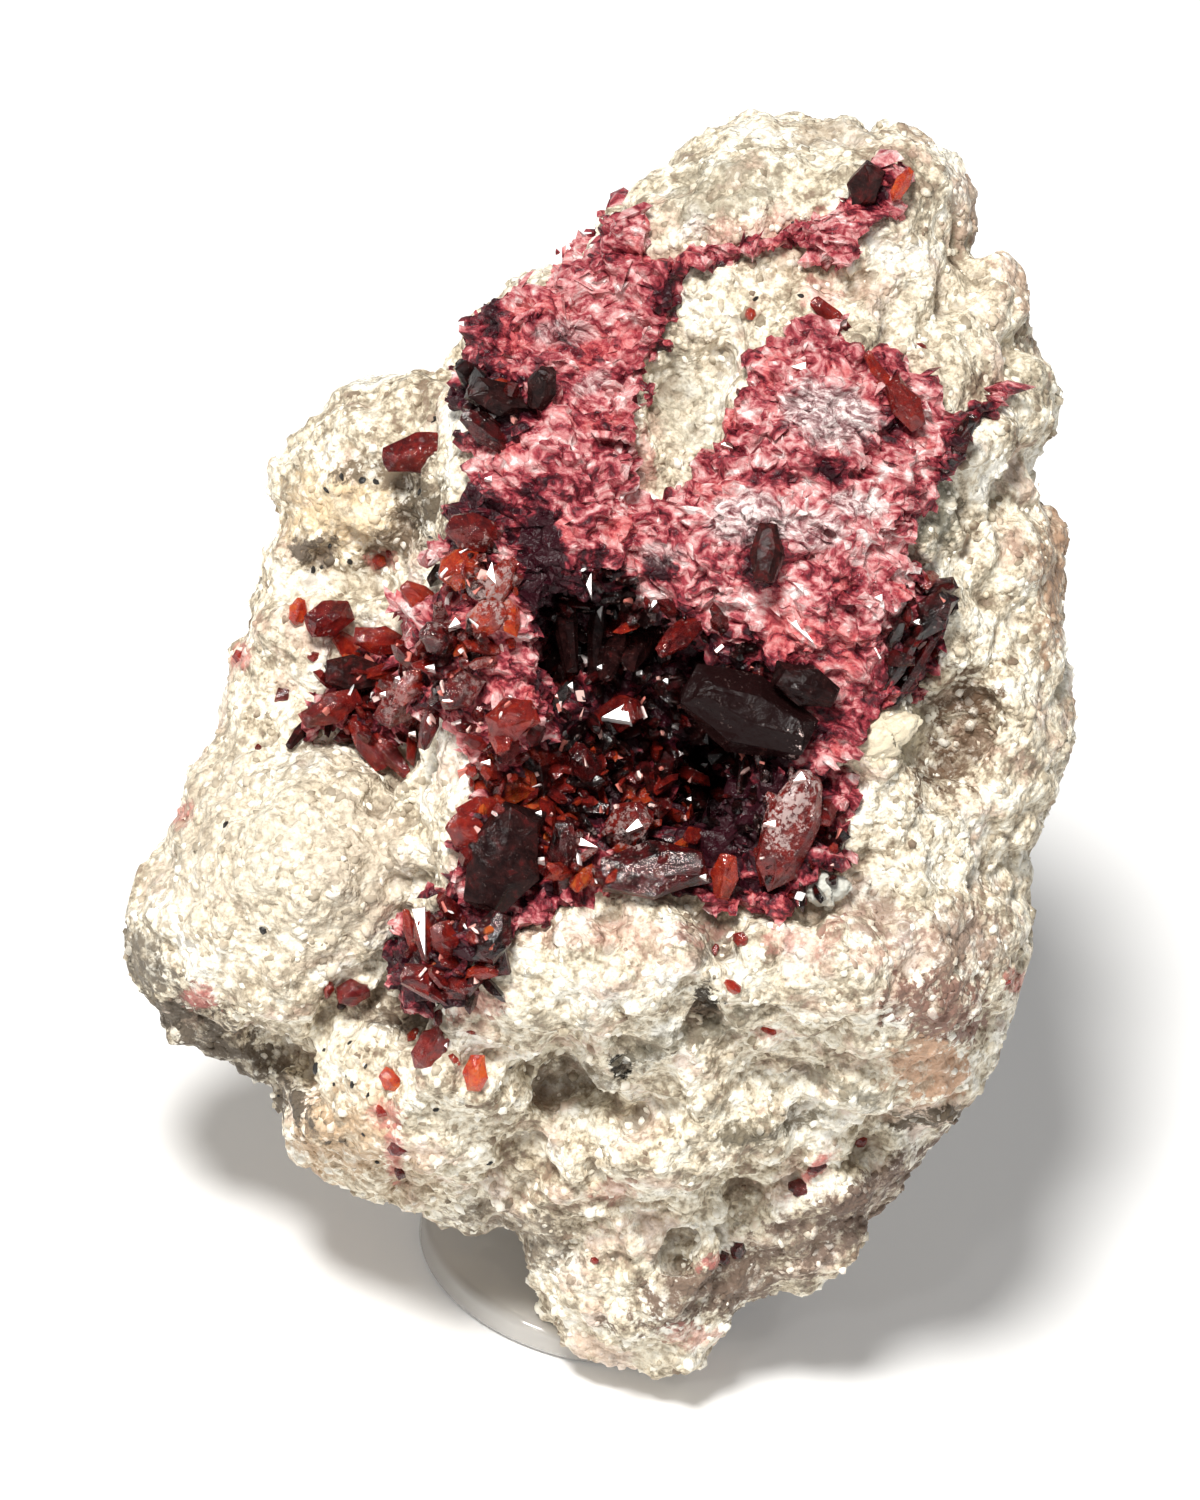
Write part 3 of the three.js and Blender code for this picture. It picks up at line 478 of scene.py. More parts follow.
def rock_colour(coordinates, pick, colours):
    """The rock's colour at a place: pick chooses a grain's own shade from 0 to 1."""
    face = face_coordinates(coordinates)
    ragged = (coordinates.noise(1.1, 4, 0.65) - 0.5) * 2.2 + (pick - 0.5) * 1.1
    broken = 1 - sum(face.spot(ragged, *calm) for calm in CALM_GROUND) * 0.62
    level = (pick + (coordinates.noise(1.4, 4, 0.68) - 0.5) * broken * 2.9
             + (coordinates.noise(3.6, 3, 0.6) - 0.5) * broken * 1.3)
    tone = level.ramp((0, colours.tan), (0.2, (0.40, 0.335, 0.24)), (0.42, colours.cream),
                      (0.62, (0.85, 0.78, 0.63)), (0.82, colours.pale), (1, (0.98, 0.95, 0.86)))
    cloud = coordinates.noise(4.2, 4).between(0.45, 0.68)
    tone = tone.mix((0.60, 0.55, 0.42), cloud * 0.3)
    rosy = coordinates.noise(2.9, 5, 0.7).between(0.52, 0.64)
    tone = tone.mix((0.56, 0.36, 0.28), rosy * broken * 0.55)
    dark = coordinates.noise(0.8, 4, 0.7).between(0.57, 0.65)
    tone = tone.mix((0.15, 0.11, 0.075), dark * broken * 0.5)
    fleck = coordinates.noise(0.9, 5, 0.76).between(0.4, 0.54) * 0.65 + 0.35
    # Stains, and painted shade where some of them lie in pits, creases and under overhangs.
    for *where, strength, colour in STAINS_AND_SHADE:
        tone = tone.mix(colour, face.spot(ragged, *where) * strength * fleck)
    for *where, strength in BLUSHES:
        tone = tone.mix(BLUSH, face.spot(ragged, *where) * fleck * strength)
    tone = tone.mix((0.13, 0.1, 0.07), (1 - pick.between(0.3, 0.62)) * 0.27)
    return tone.mix((1, 0.96, 0.86), pick.between(0.66, 0.95) * 0.32)


def rock_material(colours):
    """Cream rock of sugary grains, with painted shade in its hollows and clefts."""
    material, shader, coordinates = new_material("granular_rock")
    sugar = coordinates.noise(0.34, 5, 0.72)
    bent = coordinates.bent(0.5, 0.45)
    domes = 1 - bent.cells(0.34, "SMOOTH_F1")
    painted_gap_shade = 1 - bent.cells(0.34, "DISTANCE_TO_EDGE").between(0, 0.22)
    # Painted shade between the grains: pick is raised on the grains' domes and lowered in the gaps
    # between them.
    pick = (sugar - 0.5) * 1.5 + (domes - 0.7) * 0.4 - painted_gap_shade * 0.08 + 0.63
    tone = rock_colour(coordinates, pick, colours)
    # Painted shade: the colour darkens in the hollows and, more strongly, in the clefts.
    low = attribute(coordinates, "hollow").between(0.15, 0.9)
    tone = tone.mix((0.22, 0.16, 0.11), low * 0.7)
    deep = attribute(coordinates, "crevice").between(0.2, 0.95)
    tone = tone.mix((0.13, 0.09, 0.065), deep * 0.45)
    feed(shader, {"Base Color": tone, "Roughness": pick.between(0, 1) * 0.3 + 0.4,
                  "Specular IOR Level": 0.2})
    relief(shader, (coordinates.noise(0.9, 3, 0.6), 0.4), (domes, 0.11),
           (coordinates.noise(0.3, 2), 0.05))
    return material


def grain_material(colours):
    """A single grain of the rock, of a shade of its own."""
    material, shader, coordinates = new_material("rock_grain")
    pick = attribute(coordinates, "pick")
    feed(shader, {"Base Color": rock_colour(coordinates, pick, colours),
                  "Roughness": pick * 0.3 + 0.4, "Specular IOR Level": 0.15})
    relief(shader, (coordinates.noise(0.14, 3, 0.6), 0.04))
    return material


def speck_material():
    """The black specks, half dull and half bright."""
    material, shader, coordinates = new_material("black_speck")
    rough = coordinates.noise(0.2).between(0.3, 0.7) * 0.4 + 0.3
    feed(shader, {"Base Color": (0.012, 0.01, 0.009), "Roughness": rough})
    return material


def massive_material(colours):
    """Massive roselite, glossy where its flakes are cleaved."""
    material, shader, coordinates = new_material("massive_roselite")
    tone = massive_colour(coordinates, attribute(coordinates, "pick"), colours)
    rough = coordinates.noise(0.5, 3).between(0.3, 0.7) * 0.4 + 0.16
    feed(shader, {"Base Color": tone, "Roughness": rough, "Specular IOR Level": 0.3})
    relief(shader, (coordinates.noise(0.5, 4, 0.65), 0.2), (coordinates.noise(0.14, 3), 0.03))
    return material


FLAKE_TURN = -15  # the way that the massive roselite's flakes lie in the face, in degrees
FLAKE_STRETCH = 1.7  # how much longer than wide they are
# Where the roselite is deep wine instead of pink, its own colour, and where painted shade darkens
# it in the pocket and in the hole under the large dark crystal: (u, v), half-lengths, turn and
# strength.
WINE_AND_SHADE_GROUND = [
    # The first spot, the pocket, is partly painted shade.
    (3.8, 19.6, 5.2, 5.6, 0, 1.1), (0.2, 25.6, 1.8, 2.2, 0, 1), (-1.6, 16.8, 2.4, 2.6, 0, 0.8),
    (-7.8, 22.4, 2.6, 1.6, 0, 0.7), (-4.9, 12.2, 2.6, 2.4, 0, 1.1), (-4.2, 24.6, 1.6, 2, 0, 0.4),
    (-3.4, 32.8, 1.9, 1.5, 0, 0.95), (-3.9, 28.4, 1.1, 2, 0, 0.9), (10.9, 41.3, 1.1, 1, 0, 0.9),
    (7, 27.2, 0.8, 1.4, 0, 0.8), (13, 24, 1.1, 2.8, -30, 0.8), (8.5, 16.5, 2.2, 3, 0, 0.6),
    (-1.2, 26.8, 0.9, 2.4, 0, 1), (3.6, 36.2, 0.7, 2.2, 10, 0.5), (14.6, 31.6, 0.9, 1.8, -30, 0.8),
    (-3.7, 35.6, 0.8, 1.6, -20, 0.8), (9.6, 30.6, 1.2, 0.5, -20, 0.6),
    (7.1, 30.3, 1.1, 0.4, 0, 0.9), (3.2, 26.9, 0.7, 0.5, 0, 1), (9.9, 26.2, 0.9, 1.4, 0, 0.5),
    (11.9, 32.3, 0.5, 0.7, 0, 0.7), (9, 29, 4.2, 4.6, 0, -0.2), (5.8, 24.4, 1.5, 1.4, 30, -0.4),
    # The first spot here is painted shade in the hole under the large dark crystal.
    (5.4, 17.4, 1.6, 1.6, 0, 0.6), (-1.7, 28, 1.1, 2.4, 0, 0.7),
]
# Where it is grey, with painted glints: white sparkles in its colour.
GREY_GLINT_GROUND = [
    (9.6, 32.6, 1.9, 1.2, -20, 0.8), (6.4, 28.8, 1.6, 1.1, 0, 0.7), (9, 28.4, 1.4, 0.8, 0, 0.6),
    (-0.5, 35.8, 1.2, 0.5, 0, 0.5), (3.2, 27.4, 1, 0.5, 0, 0.5), (3.2, 39.4, 0.7, 0.6, 0, 0.5),
    (10.6, 29.3, 1.2, 0.5, -10, 0.7), (0.6, 33.9, 0.8, 0.4, 30, 0.5),
]


def massive_colour(coordinates, pick, colours):
    """Massive roselite's colour: rose and raspberry, mottled with maroon and with white that is
    partly its own and partly painted glints.
    """
    face = face_coordinates(coordinates)
    bent = face.bent(2.2, 2.6)
    drawn = bent.node("ShaderNodeMapping", {"vector_type": "TEXTURE"},
                      {"Vector": bent, "Rotation": (0, 0, math.radians(FLAKE_TURN)),
                       "Scale": (FLAKE_STRETCH, 1, 1.2)})
    mottle = drawn.noise(0.4, 4, 0.68) + (drawn.noise(1.6, 3, 0.6) - 0.5) * 0.8
    level = (mottle - 0.5) * 1.25 + 0.505 + (pick - 0.5) * 0.3
    ragged = (coordinates.noise(0.9, 3, 0.6) - 0.5) * 1.4
    # Deep wine, with painted shade in the pocket and its hole.
    for *where, strength in WINE_AND_SHADE_GROUND:
        level = level - face.spot(ragged, *where) * (0.4 * strength)
    # The palest stop is partly the flakes' own pale pink and partly painted glints.
    tone = level.ramp((0.1, (0.028, 0.004, 0.008)), (0.28, (0.12, 0.012, 0.02)),
                      (0.43, (0.34, 0.044, 0.06)), (0.57, colours.pink),
                      (0.72, (0.68, 0.42, 0.41)), (0.88, (0.92, 0.84, 0.82)))
    red = coordinates.noise(2.1, 4, 0.6).between(0.53, 0.63)
    tone = tone.mix((0.66, 0.085, 0.075), red * level.between(0.3, 0.5) * 0.35)
    # Painted glints: white sparkles on the grey ground are in its colour.
    spark = drawn.noise(0.3, 4, 0.72) + (level - 0.5) * 0.25
    grey = spark.ramp((0.38, (0.07, 0.03, 0.033)), (0.5, (0.4, 0.29, 0.29)),
                      (0.62, (0.9, 0.84, 0.81)))
    for *where, strength in GREY_GLINT_GROUND:
        tone = tone.mix(grey, face.spot(ragged, *where) * strength)
    return tone


# Where crystals are frosted, partly a paler skin and partly painted reflection: (u, v),
# half-lengths, turn and strength.
FROST_AND_SHEEN = [
    (8.2, 18.2, 0.75, 1.7, -22, 1.1), (-3.1, 26.3, 0.7, 1.2, 0, 0.8), (2, 17, 0.9, 0.7, 0, 0.8),
    (0.6, 16.3, 0.6, 0.6, 0, 0.7), (-4.2, 25.4, 1.4, 0.6, 30, 0.5), (-6.6, 21.8, 0.8, 0.8, 0, 0.4),
    (-3.4, 22.8, 1, 0.9, 0, 0.4), (8.6, 24, 0.9, 0.4, -45, 0.6), (-7.6, 11.7, 0.9, 0.3, 0, 0.7),
]


def crystal_material(colours, name="roselite_crystal", shine=0.3, clearness=0.62, veiling=1.2):
    """Clear roselite, from orange to nearly black, veiled here and there, with painted glints, and
    frosted in patches that are partly a paler skin and partly painted reflection.
    """
    material, shader, coordinates = new_material(name)
    face = face_coordinates(coordinates)
    veils = face.bent(0.9, 0.9).noise(0.45, 5, 0.68)
    level = attribute(coordinates, "pick") + (veils - 0.5) * veiling
    tone = level.ramp((0, (0.94, 0.2, 0.04)), (0.18, (0.74, 0.075, 0.026)),
                      (0.4, (0.42, 0.028, 0.019)), (0.68, colours.wine),
                      (0.9, (0.026, 0.008, 0.0075)), (1, (0.010, 0.0035, 0.0035)))
    ragged = (coordinates.noise(0.42, 5, 0.75) - 0.5) * 6
    flaws = coordinates.noise(0.26, 4, 0.75).between(0.42, 0.54)
    # Frost: partly a paler skin and partly painted reflection.
    for *where, strength in FROST_AND_SHEEN:
        tone = tone.mix((0.93, 0.72, 0.68), face.spot(ragged, *where) * flaws * strength)
    # Painted glints: small pale flecks in the colour.
    glint = coordinates.noise(0.22, 3, 0.7).between(0.63, 0.67)
    tone = tone.mix((0.93, 0.66, 0.60), glint * (clearness * 0.75))
    rough = coordinates.noise(0.5, 3).between(0.35, 0.7) * 0.14 + 0.05
    feed(shader, {"Base Color": tone, "Roughness": rough, "IOR": 1.6,
                  "Specular IOR Level": shine, "Transmission Weight": clearness})
    absorb(material, (0.88, 0.3, 0.15), 600)
    relief(shader, (veils, 0.07), (coordinates.noise(0.16, 3), 0.015))
    return material


def gleam_material():
    """A crystal face with a painted highlight, from pink to white."""
    material, shader, coordinates = new_material("painted_gleam_face")
    tone = attribute(coordinates, "pick").ramp((0, (0.62, 0.2, 0.16)), (0.35, (0.86, 0.55, 0.49)),
                                               (0.8, (0.97, 0.94, 0.92)))
    flaw = coordinates.noise(0.3, 4, 0.7).between(0.58, 0.66)
    feed(shader, {"Base Color": tone.mix((0.55, 0.16, 0.13), flaw * 0.7), "Roughness": 0.22})
    return material


def lump_material():
    """The smooth lumps' grey to creamy stone."""
    material, shader, coordinates = new_material("smooth_lump")
    tone = attribute(coordinates, "pick").ramp((0, (0.58, 0.58, 0.52)), (1, (0.74, 0.65, 0.48)))
    mottle = coordinates.noise(0.5, 5, 0.7).between(0.5, 0.66)
    feed(shader, {"Base Color": tone.mix((0.5, 0.4, 0.28), mottle * 0.5), "Roughness": 0.4})
    relief(shader, (coordinates.noise(0.4, 4, 0.6), 0.12))
    return material


def absorb(material, colour, density):
    """Makes a clear material darken towards a colour with depth."""
    tree = material.node_tree
    volume = tree.nodes.new("ShaderNodeVolumeAbsorption")
    feed(volume, {"Color": colour, "Density": density})
    tree.links.new(volume.outputs[0], tree.nodes["Material Output"].inputs["Volume"])


def clear_material():
    """The base's clear, slightly smoky plastic."""
    material, shader, coordinates = new_material("clear_base")
    rough = coordinates.noise(2, 3).between(0.4, 0.8) * 0.05 + 0.03
    feed(shader, {"Base Color": (0.97, 0.94, 0.90), "Roughness": rough, "IOR": 1.49,
                  "Transmission Weight": 0.6})
    return material


# ------------------------------------------------------------ mesh helpers

MERGED = 0.002 * MM  # points of a CAD mesh this near each other are one


def deselect():
    """Leaves edit mode with nothing selected."""
    if bpy.context.mode != "OBJECT":
        bpy.ops.object.mode_set(mode="OBJECT")
    bpy.ops.object.select_all(action="DESELECT")


def activate(piece):
    """Selects one piece alone and makes it the active one."""
    deselect()
    piece.select_set(True)
    bpy.context.view_layer.objects.active = piece


def edit(piece, select="DESELECT"):
    """Opens a piece in edit mode with none or all of it selected."""
    activate(piece)
    bpy.ops.object.mode_set(mode="EDIT")
    bpy.ops.mesh.select_mode(type="FACE")
    bpy.ops.mesh.select_all(action=select)


def select_faces(piece, keep):
    """Selects, in edit mode, the faces whose centre and normal pass a test."""
    mesh = bmesh.from_edit_mesh(piece.data)
    for face in mesh.faces:
        face.select = keep(face.calc_center_median(), face.normal)
    mesh.select_flush_mode()
    bmesh.update_edit_mesh(piece.data)


def apply_modifier(piece, kind, **settings):
    """Gives a piece a modifier and applies it."""
    activate(piece)
    modifier = piece.modifiers.new(kind.lower(), kind)
    for name, value in settings.items():
        setattr(modifier, name, value)
    bpy.ops.object.modifier_apply(modifier=modifier.name)


def texture(kind, size, **settings):
    """A solid texture with features of a size."""
    made = bpy.data.textures.new(kind.lower(), kind)
    made.noise_scale = size
    for name, value in settings.items():
        setattr(made, name, value)
    return made


def displace(piece, pattern, height, middle=0.5, space=None):
    """Pushes a piece's surface in and out by a pattern's height, laid out in the piece's own
    space or in another object's."""
    laid = {"texture_coords": "LOCAL"}
    if space:
        laid = {"texture_coords": "OBJECT", "texture_coords_object": space}
    apply_modifier(piece, "DISPLACE", texture=pattern, strength=height, mid_level=middle, **laid)


def drawn_out_space(turn, times):
    """An empty whose space is drawn out along one way in the face."""
    bpy.ops.object.empty_add()
    space = bpy.context.object
    longer = turned_in_face(turn) @ Matrix.Diagonal((times, 1, 1))
    space.matrix_world = (FACE @ longer).to_4x4()
    bpy.context.view_layer.update()
    return space


def free_copy(original, name):
    """A copy of an object with a mesh of its own, riding on nothing."""
    piece = original.copy()
    piece.data = piece.data.copy()
    piece.name = piece.data.name = name
    for key in list(piece.keys()):
        del piece[key]
    piece.parent = None
    bpy.context.scene.collection.objects.link(piece)
    return piece


def copy_of_node(node, name):
    """A merged copy of a CAD node's mesh, as a piece of its own."""
    piece = free_copy(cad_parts[node], name)
    piece.data.materials.clear()
    edit(piece, "SELECT")
    bpy.ops.mesh.remove_doubles(threshold=MERGED)
    bpy.ops.object.mode_set(mode="OBJECT")
    return piece


def positions(mesh, field="co"):
    """The places of a mesh's points, or another of their vectors."""
    flat = np.empty(len(mesh.vertices) * 3, np.float32)
    mesh.vertices.foreach_get(field, flat)
    return flat.reshape(-1, 3)


def normals_of(mesh):
    return positions(mesh, "normal")


def move_points(piece, points):
    piece.data.vertices.foreach_set("co", points.ravel())
    piece.data.update()


def unit(vectors):
    """Vectors drawn out or in to a length of one."""
    return vectors / np.maximum(np.linalg.norm(vectors, axis=1), 1e-12)[:, None]


def write_attribute(mesh, name, values):
    """Stores one value for each of a mesh's points."""
    made = mesh.attributes.new(name, "FLOAT", "POINT")
    made.data.foreach_set("value", np.ascontiguousarray(values, np.float32))


def neighbour_mean(mesh, values, rounds):
    """Values smoothed over a mesh's edges."""
    edges = np.empty(len(mesh.edges) * 2, np.int32)
    mesh.edges.foreach_get("vertices", edges)
    a, b = edges.reshape(-1, 2).T
    count = np.bincount(np.concatenate([a, b]), minlength=len(values)).astype(float)
    for _ in range(rounds):
        total = np.stack([np.bincount(a, column[b], len(values))
                          + np.bincount(b, column[a], len(values))
                          for column in values.T], axis=1)
        values = 0.5 * values + 0.5 * total / np.maximum(count, 1)[:, None]
    return values


def mark_hollows(piece, name, rounds, deepest):
    """Stores how far each point lies below its smoothed surroundings, from 0 to 1."""
    mesh = piece.data
    here = positions(mesh).astype(float)
    around = neighbour_mean(mesh, here, rounds)
    sunk = ((around - here) * normals_of(mesh)).sum(axis=1) / deepest
    write_attribute(mesh, name, np.clip(sunk, 0, 1))


def sharpen(piece, fine, coarse, deepest, highest):
    """Deepens a piece's clefts and raises its knobs, of the sizes between two smoothings, by
    no more than two heights."""
    here = positions(piece.data).astype(float)
    near = neighbour_mean(piece.data, here, fine)
    far = neighbour_mean(piece.data, near, coarse)
    normals = normals_of(piece.data)
    height = np.clip(((near - far) * normals).sum(axis=1), -deepest, highest)
    move_points(piece, here + normals * height[:, None])


def surface_samples(piece, count, random):
    """Seeded points spread evenly over a piece's surface, with their normals."""
    mesh = piece.data
    mesh.calc_loop_triangles()
    corners = np.empty(len(mesh.loop_triangles) * 3, np.int32)
    mesh.loop_triangles.foreach_get("vertices", corners)
    a, b, c = positions(mesh)[corners.reshape(-1, 3)].transpose(1, 0, 2).astype(float)
    across = np.cross(b - a, c - a)
    area = np.linalg.norm(across, axis=1)
    chosen = random.choice(len(area), count, p=area / area.sum())
    r, s = random.random((2, count, 1))
    r, s = np.where(r + s > 1, 1 - r, r), np.where(r + s > 1, 1 - s, s)
    points = a[chosen] + r * (b - a)[chosen] + s * (c - a)[chosen]
    return points, across[chosen] / np.maximum(area[chosen], 1e-18)[:, None]


def inside(outline, u, v):
    """Whether points of the face lie inside an outline."""
    result = np.zeros(len(u), bool)
    for (u0, v0), (u1, v1) in zip(outline, outline[1:] + outline[:1]):
        crosses = (v0 > v) != (v1 > v)
        at = u0 + (v - v0) * (u1 - u0) / ((v1 - v0) or 1e-9)
        result ^= crosses & (u < at)
    return result


def frames_along(normals, random):
    """A right-handed set of axes on each normal, its first axis turned at random."""
    first = unit(np.cross(normals, random.random((len(normals), 3)) - 0.5))
    return np.stack([first, np.cross(normals, first), normals], axis=2)


def frames_towards(normals, turns):
    """A right-handed set of axes on each normal, its first axis near a way in the face."""
    ways = np.stack([np.cos(turns), np.sin(turns), 0 * turns], axis=1) @ TO_FACE.T
    first = unit(ways - normals * (ways * normals).sum(axis=1)[:, None])
    return np.stack([first, np.cross(normals, first), normals], axis=2)


DRAWN_BACK = 0.8  # the share of its overshoot by which a point comes back


def drawn_in(points, whole=False):
    """Points with those outside the solids' box brought back, each most of the way by itself
    or all of them together."""
    low, high = np.array(CAD_BOX)
    least, most = (points.min(0), points.max(0)) if whole else (points, points)
    return points + DRAWN_BACK * (np.maximum(low - least, 0) - np.maximum(most - high, 0))


def tilted(normals, spread, random):
    """Directions strewn at random about normals."""
    return unit(normals + random.normal(0, spread, normals.shape))


def proportions(ranges, count, random):
    """Random numbers in one column for each range."""
    return np.stack([random.uniform(*each, count) for each in ranges], axis=1)


def remove(pieces):
    for piece in pieces:
        bpy.data.objects.remove(piece)


def joined(first, *others):
    """The first piece with the others joined to it."""
    activate(first)
    for other in others:
        other.select_set(True)
    bpy.ops.object.join()
    return first


def planted(name, prototypes, points, axes, sizes, picks, random):
    """One mesh of many copies, each of a random prototype at its place, axes and size."""
    vertices, faces, shades = [], [], []
    start = 0
    kinds = random.integers(len(prototypes), size=len(points))
    shapes = [(positions(p.data).astype(float), [tuple(f.vertices) for f in p.data.polygons])
              for p in prototypes]
    for point, axis, size, pick, kind in zip(points, axes, sizes, picks, kinds):
        corners, sides = shapes[kind]
        vertices.append(drawn_in((corners * size) @ axis.T + point, whole=True))
        faces.extend([tuple(i + start for i in side) for side in sides])
        shades.append(np.full(len(corners), pick))
        start += len(corners)
    mesh = bpy.data.meshes.new(name)
    mesh.from_pydata(np.concatenate(vertices).tolist(), [], faces)
    write_attribute(mesh, "pick", np.concatenate(shades))
    piece = bpy.data.objects.new(name, mesh)
    bpy.context.scene.collection.objects.link(piece)
    return piece


CRUST = ("roselite", "roselite_crust")  # the slot and the node of what grows as one crust


def place(piece, material, slot, *nodes):
    """Gives a finished piece its material and its place in the object."""
    piece.data.materials.clear()
    piece.data.materials.append(material)
    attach(piece, "root")
    if nodes:
        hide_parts(*nodes)


# ------------------------------------------------------------ prototypes, one unit long

END_LENGTH = 0.3  # how far an end face is drawn out to its chisel edge
CHIPPED = 0.012  # the width of the chips along a crystal's edges
STEP_SIZE = 0.35
STEP_GROWTH = 0.07  # how much larger the steps are in each further variant
STEP_HEIGHT = 0.02
WAVE_SIZE = 0.5
WAVE_HEIGHT = 0.05


def chisel(piece, side, along, across, shift):
    """Draws one end face of a blank out to a chisel edge of a length and a width."""
    edit(piece)
    select_faces(piece, lambda centre, normal: normal.z * side > 0.9)
    out = (0, 0, END_LENGTH * side)
    bpy.ops.mesh.extrude_region_move(TRANSFORM_OT_translate={"value": out})
    bpy.ops.transform.resize(value=(along, across, 1))
    bpy.ops.transform.translate(value=(shift, 0, 0))
    bpy.ops.object.mode_set(mode="OBJECT")


def blank(name, sides, depth, stretch):
    """A flat prism, long in x, that a crystal is cut from."""
    deselect()
    bpy.ops.mesh.primitive_cylinder_add(vertices=sides, radius=0.5, depth=depth)
    piece = bpy.context.object
    piece.name = name
    edit(piece, "SELECT")
    bpy.ops.transform.rotate(value=math.radians(90 - 180 / sides), orient_axis="Z",
                             center_override=(0, 0, 0))
    bpy.ops.transform.resize(value=stretch)
    bpy.ops.object.mode_set(mode="OBJECT")
    return piece


def settled(piece):
    """Puts a piece's points and faces in a fixed order, which extrude and bevel don't."""
    mesh = piece.data
    points = positions(mesh)
    order = np.lexsort(points.T)
    rank = np.argsort(order)
    faces = sorted(tuple(rank[list(face.vertices)].tolist()) for face in mesh.polygons)
    mesh.clear_geometry()
    mesh.from_pydata(points[order].tolist(), [], faces)
    return piece


def unit_sized(piece):
    """Scales a prototype's mesh to one unit each way about its middle."""
    here = positions(piece.data)
    low, high = here.min(0), here.max(0)
    move_points(piece, (here - (low + high) / 2) / (high - low))
    return piece


def rough_hew(piece, variant):
    """Breaks a prototype's flat faces up into uneven, stepped ones."""
    edit(piece, "SELECT")
    bpy.ops.mesh.bevel(offset=CHIPPED, segments=1, affect="EDGES")
    bpy.ops.mesh.select_all(action="SELECT")
    bpy.ops.mesh.quads_convert_to_tris()
    bpy.ops.mesh.subdivide(number_cuts=2)
    bpy.ops.object.mode_set(mode="OBJECT")
    settled(piece)
    steps = texture("DISTORTED_NOISE", STEP_SIZE + STEP_GROWTH * variant, distortion=0.6,
                    noise_basis="CELL_NOISE", noise_distortion="IMPROVED_PERLIN")
    displace(piece, steps, STEP_HEIGHT)
    displace(piece, texture("CLOUDS", WAVE_SIZE), WAVE_HEIGHT)


def crystal_prototypes(detailed=False):
    """The four habits, lens, leaf, block and plate, each in three variants."""
    made = {"lens": [], "leaf": [], "block": [], "plate": []}
    for index in range(3):
        sides = 6 + index % 2
        shift = 0.05 * (index - 1)
        lens = blank("lens", sides, 0.16, (1.0, 0.9, 1))
        chisel(lens, 1, 0.5, 0.3 - shift, 0.05 + shift)
        chisel(lens, -1, 0.5, 0.3 + shift, -0.04)
        leaf = blank("leaf", sides, 0.18, (1.0, 0.9, 1))
        chisel(leaf, 1, 0.62 + shift, 0.08, 0.06 - shift)
        chisel(leaf, -1, 0.5, 0.1, -0.05)
        block = blank("block", 6 - index % 2, 0.5, (1.0, 1.1, 1))
        chisel(block, 1, 0.68 + shift, 0.35, -0.08 + shift)
        chisel(block, -1, 0.7, 0.3, 0.06)
        plate = blank("plate", sides, 0.45, (1.0, 1.25, 1))
        chisel(plate, 1, 0.72, 0.5 + shift, 0.06 - shift)
        chisel(plate, -1, 0.8, 0.7, -0.03)
        for piece in (lens, leaf, block, plate):
            edit(piece, "SELECT")
            bpy.ops.transform.vertex_random(offset=0.07, seed=index)
            bpy.ops.object.mode_set(mode="OBJECT")
            made[piece.name.split(".")[0]].append(settled(piece))
    for kind, variants in made.items():
        for index, piece in enumerate(variants):
            if detailed:
                rough_hew(piece, index)
            unit_sized(piece)
    return made


def grain_prototypes():
    """Rounded, slightly squashed and skewed grains."""
    made = []
    for index, skew in enumerate((0.2, -0.25, 0.1)):
        deselect()
        bpy.ops.mesh.primitive_ico_sphere_add(subdivisions=1, radius=0.5)
        grain = bpy.context.object
        grain.name = f"grain_{index}"
        edit(grain)
        select_faces(grain, lambda centre, normal: centre.z > 0.1)
        bpy.ops.transform.translate(value=(skew, 0.15, -0.05 * index))
        bpy.ops.transform.resize(value=(1.25, 0.8, 1))
        bpy.ops.object.mode_set(mode="OBJECT")
        made.append(unit_sized(grain))
    return made


def shard_prototypes():
    """Thin broken flakes with sloping edges."""
    made = []
    for index, sides in enumerate((3, 4, 5)):
        deselect()
        bpy.ops.mesh.primitive_cylinder_add(vertices=sides, radius=0.5, depth=0.5)
        shard = bpy.context.object
        shard.name = f"shard_{index}"
        edit(shard)
        select_faces(shard, lambda centre, normal: normal.z > 0.9)
        bpy.ops.transform.resize(value=(0.55, 0.7, 1))
        bpy.ops.transform.translate(value=(0.12 - 0.1 * index, 0.05, 0))
        bpy.ops.object.mode_set(mode="OBJECT")
        made.append(unit_sized(shard))
    return made


# ------------------------------------------------------------ the pieces

FORM_VOXEL = 0.3 * MM
FINISH_VOXEL = 0.2 * MM
ROCK_SHARE = 0.52  # of the rock's faces that are kept, to stay under 200,000
GROUND_SHARE = 0.6  # of the massive roselite's faces that are kept
# The rock's knobs, coarse and fine: size and height in millimetres, layers of noise, and the
# level of the noise that stays where it is.
KNOBS = [(1.9, 1.1, 2, 0.28), (0.85, 0.4, 1, 0.3)]
PIT_SIZE = 0.45 * MM
PIT_DEPTH = 0.16 * MM
# The hollows and clefts whose painted shade darkens the rock's colour: rounds of smoothing that
# they show against, and depth.
HOLLOWS = {"hollow": (20, 0.25 * MM), "crevice": (220, 1.1 * MM)}


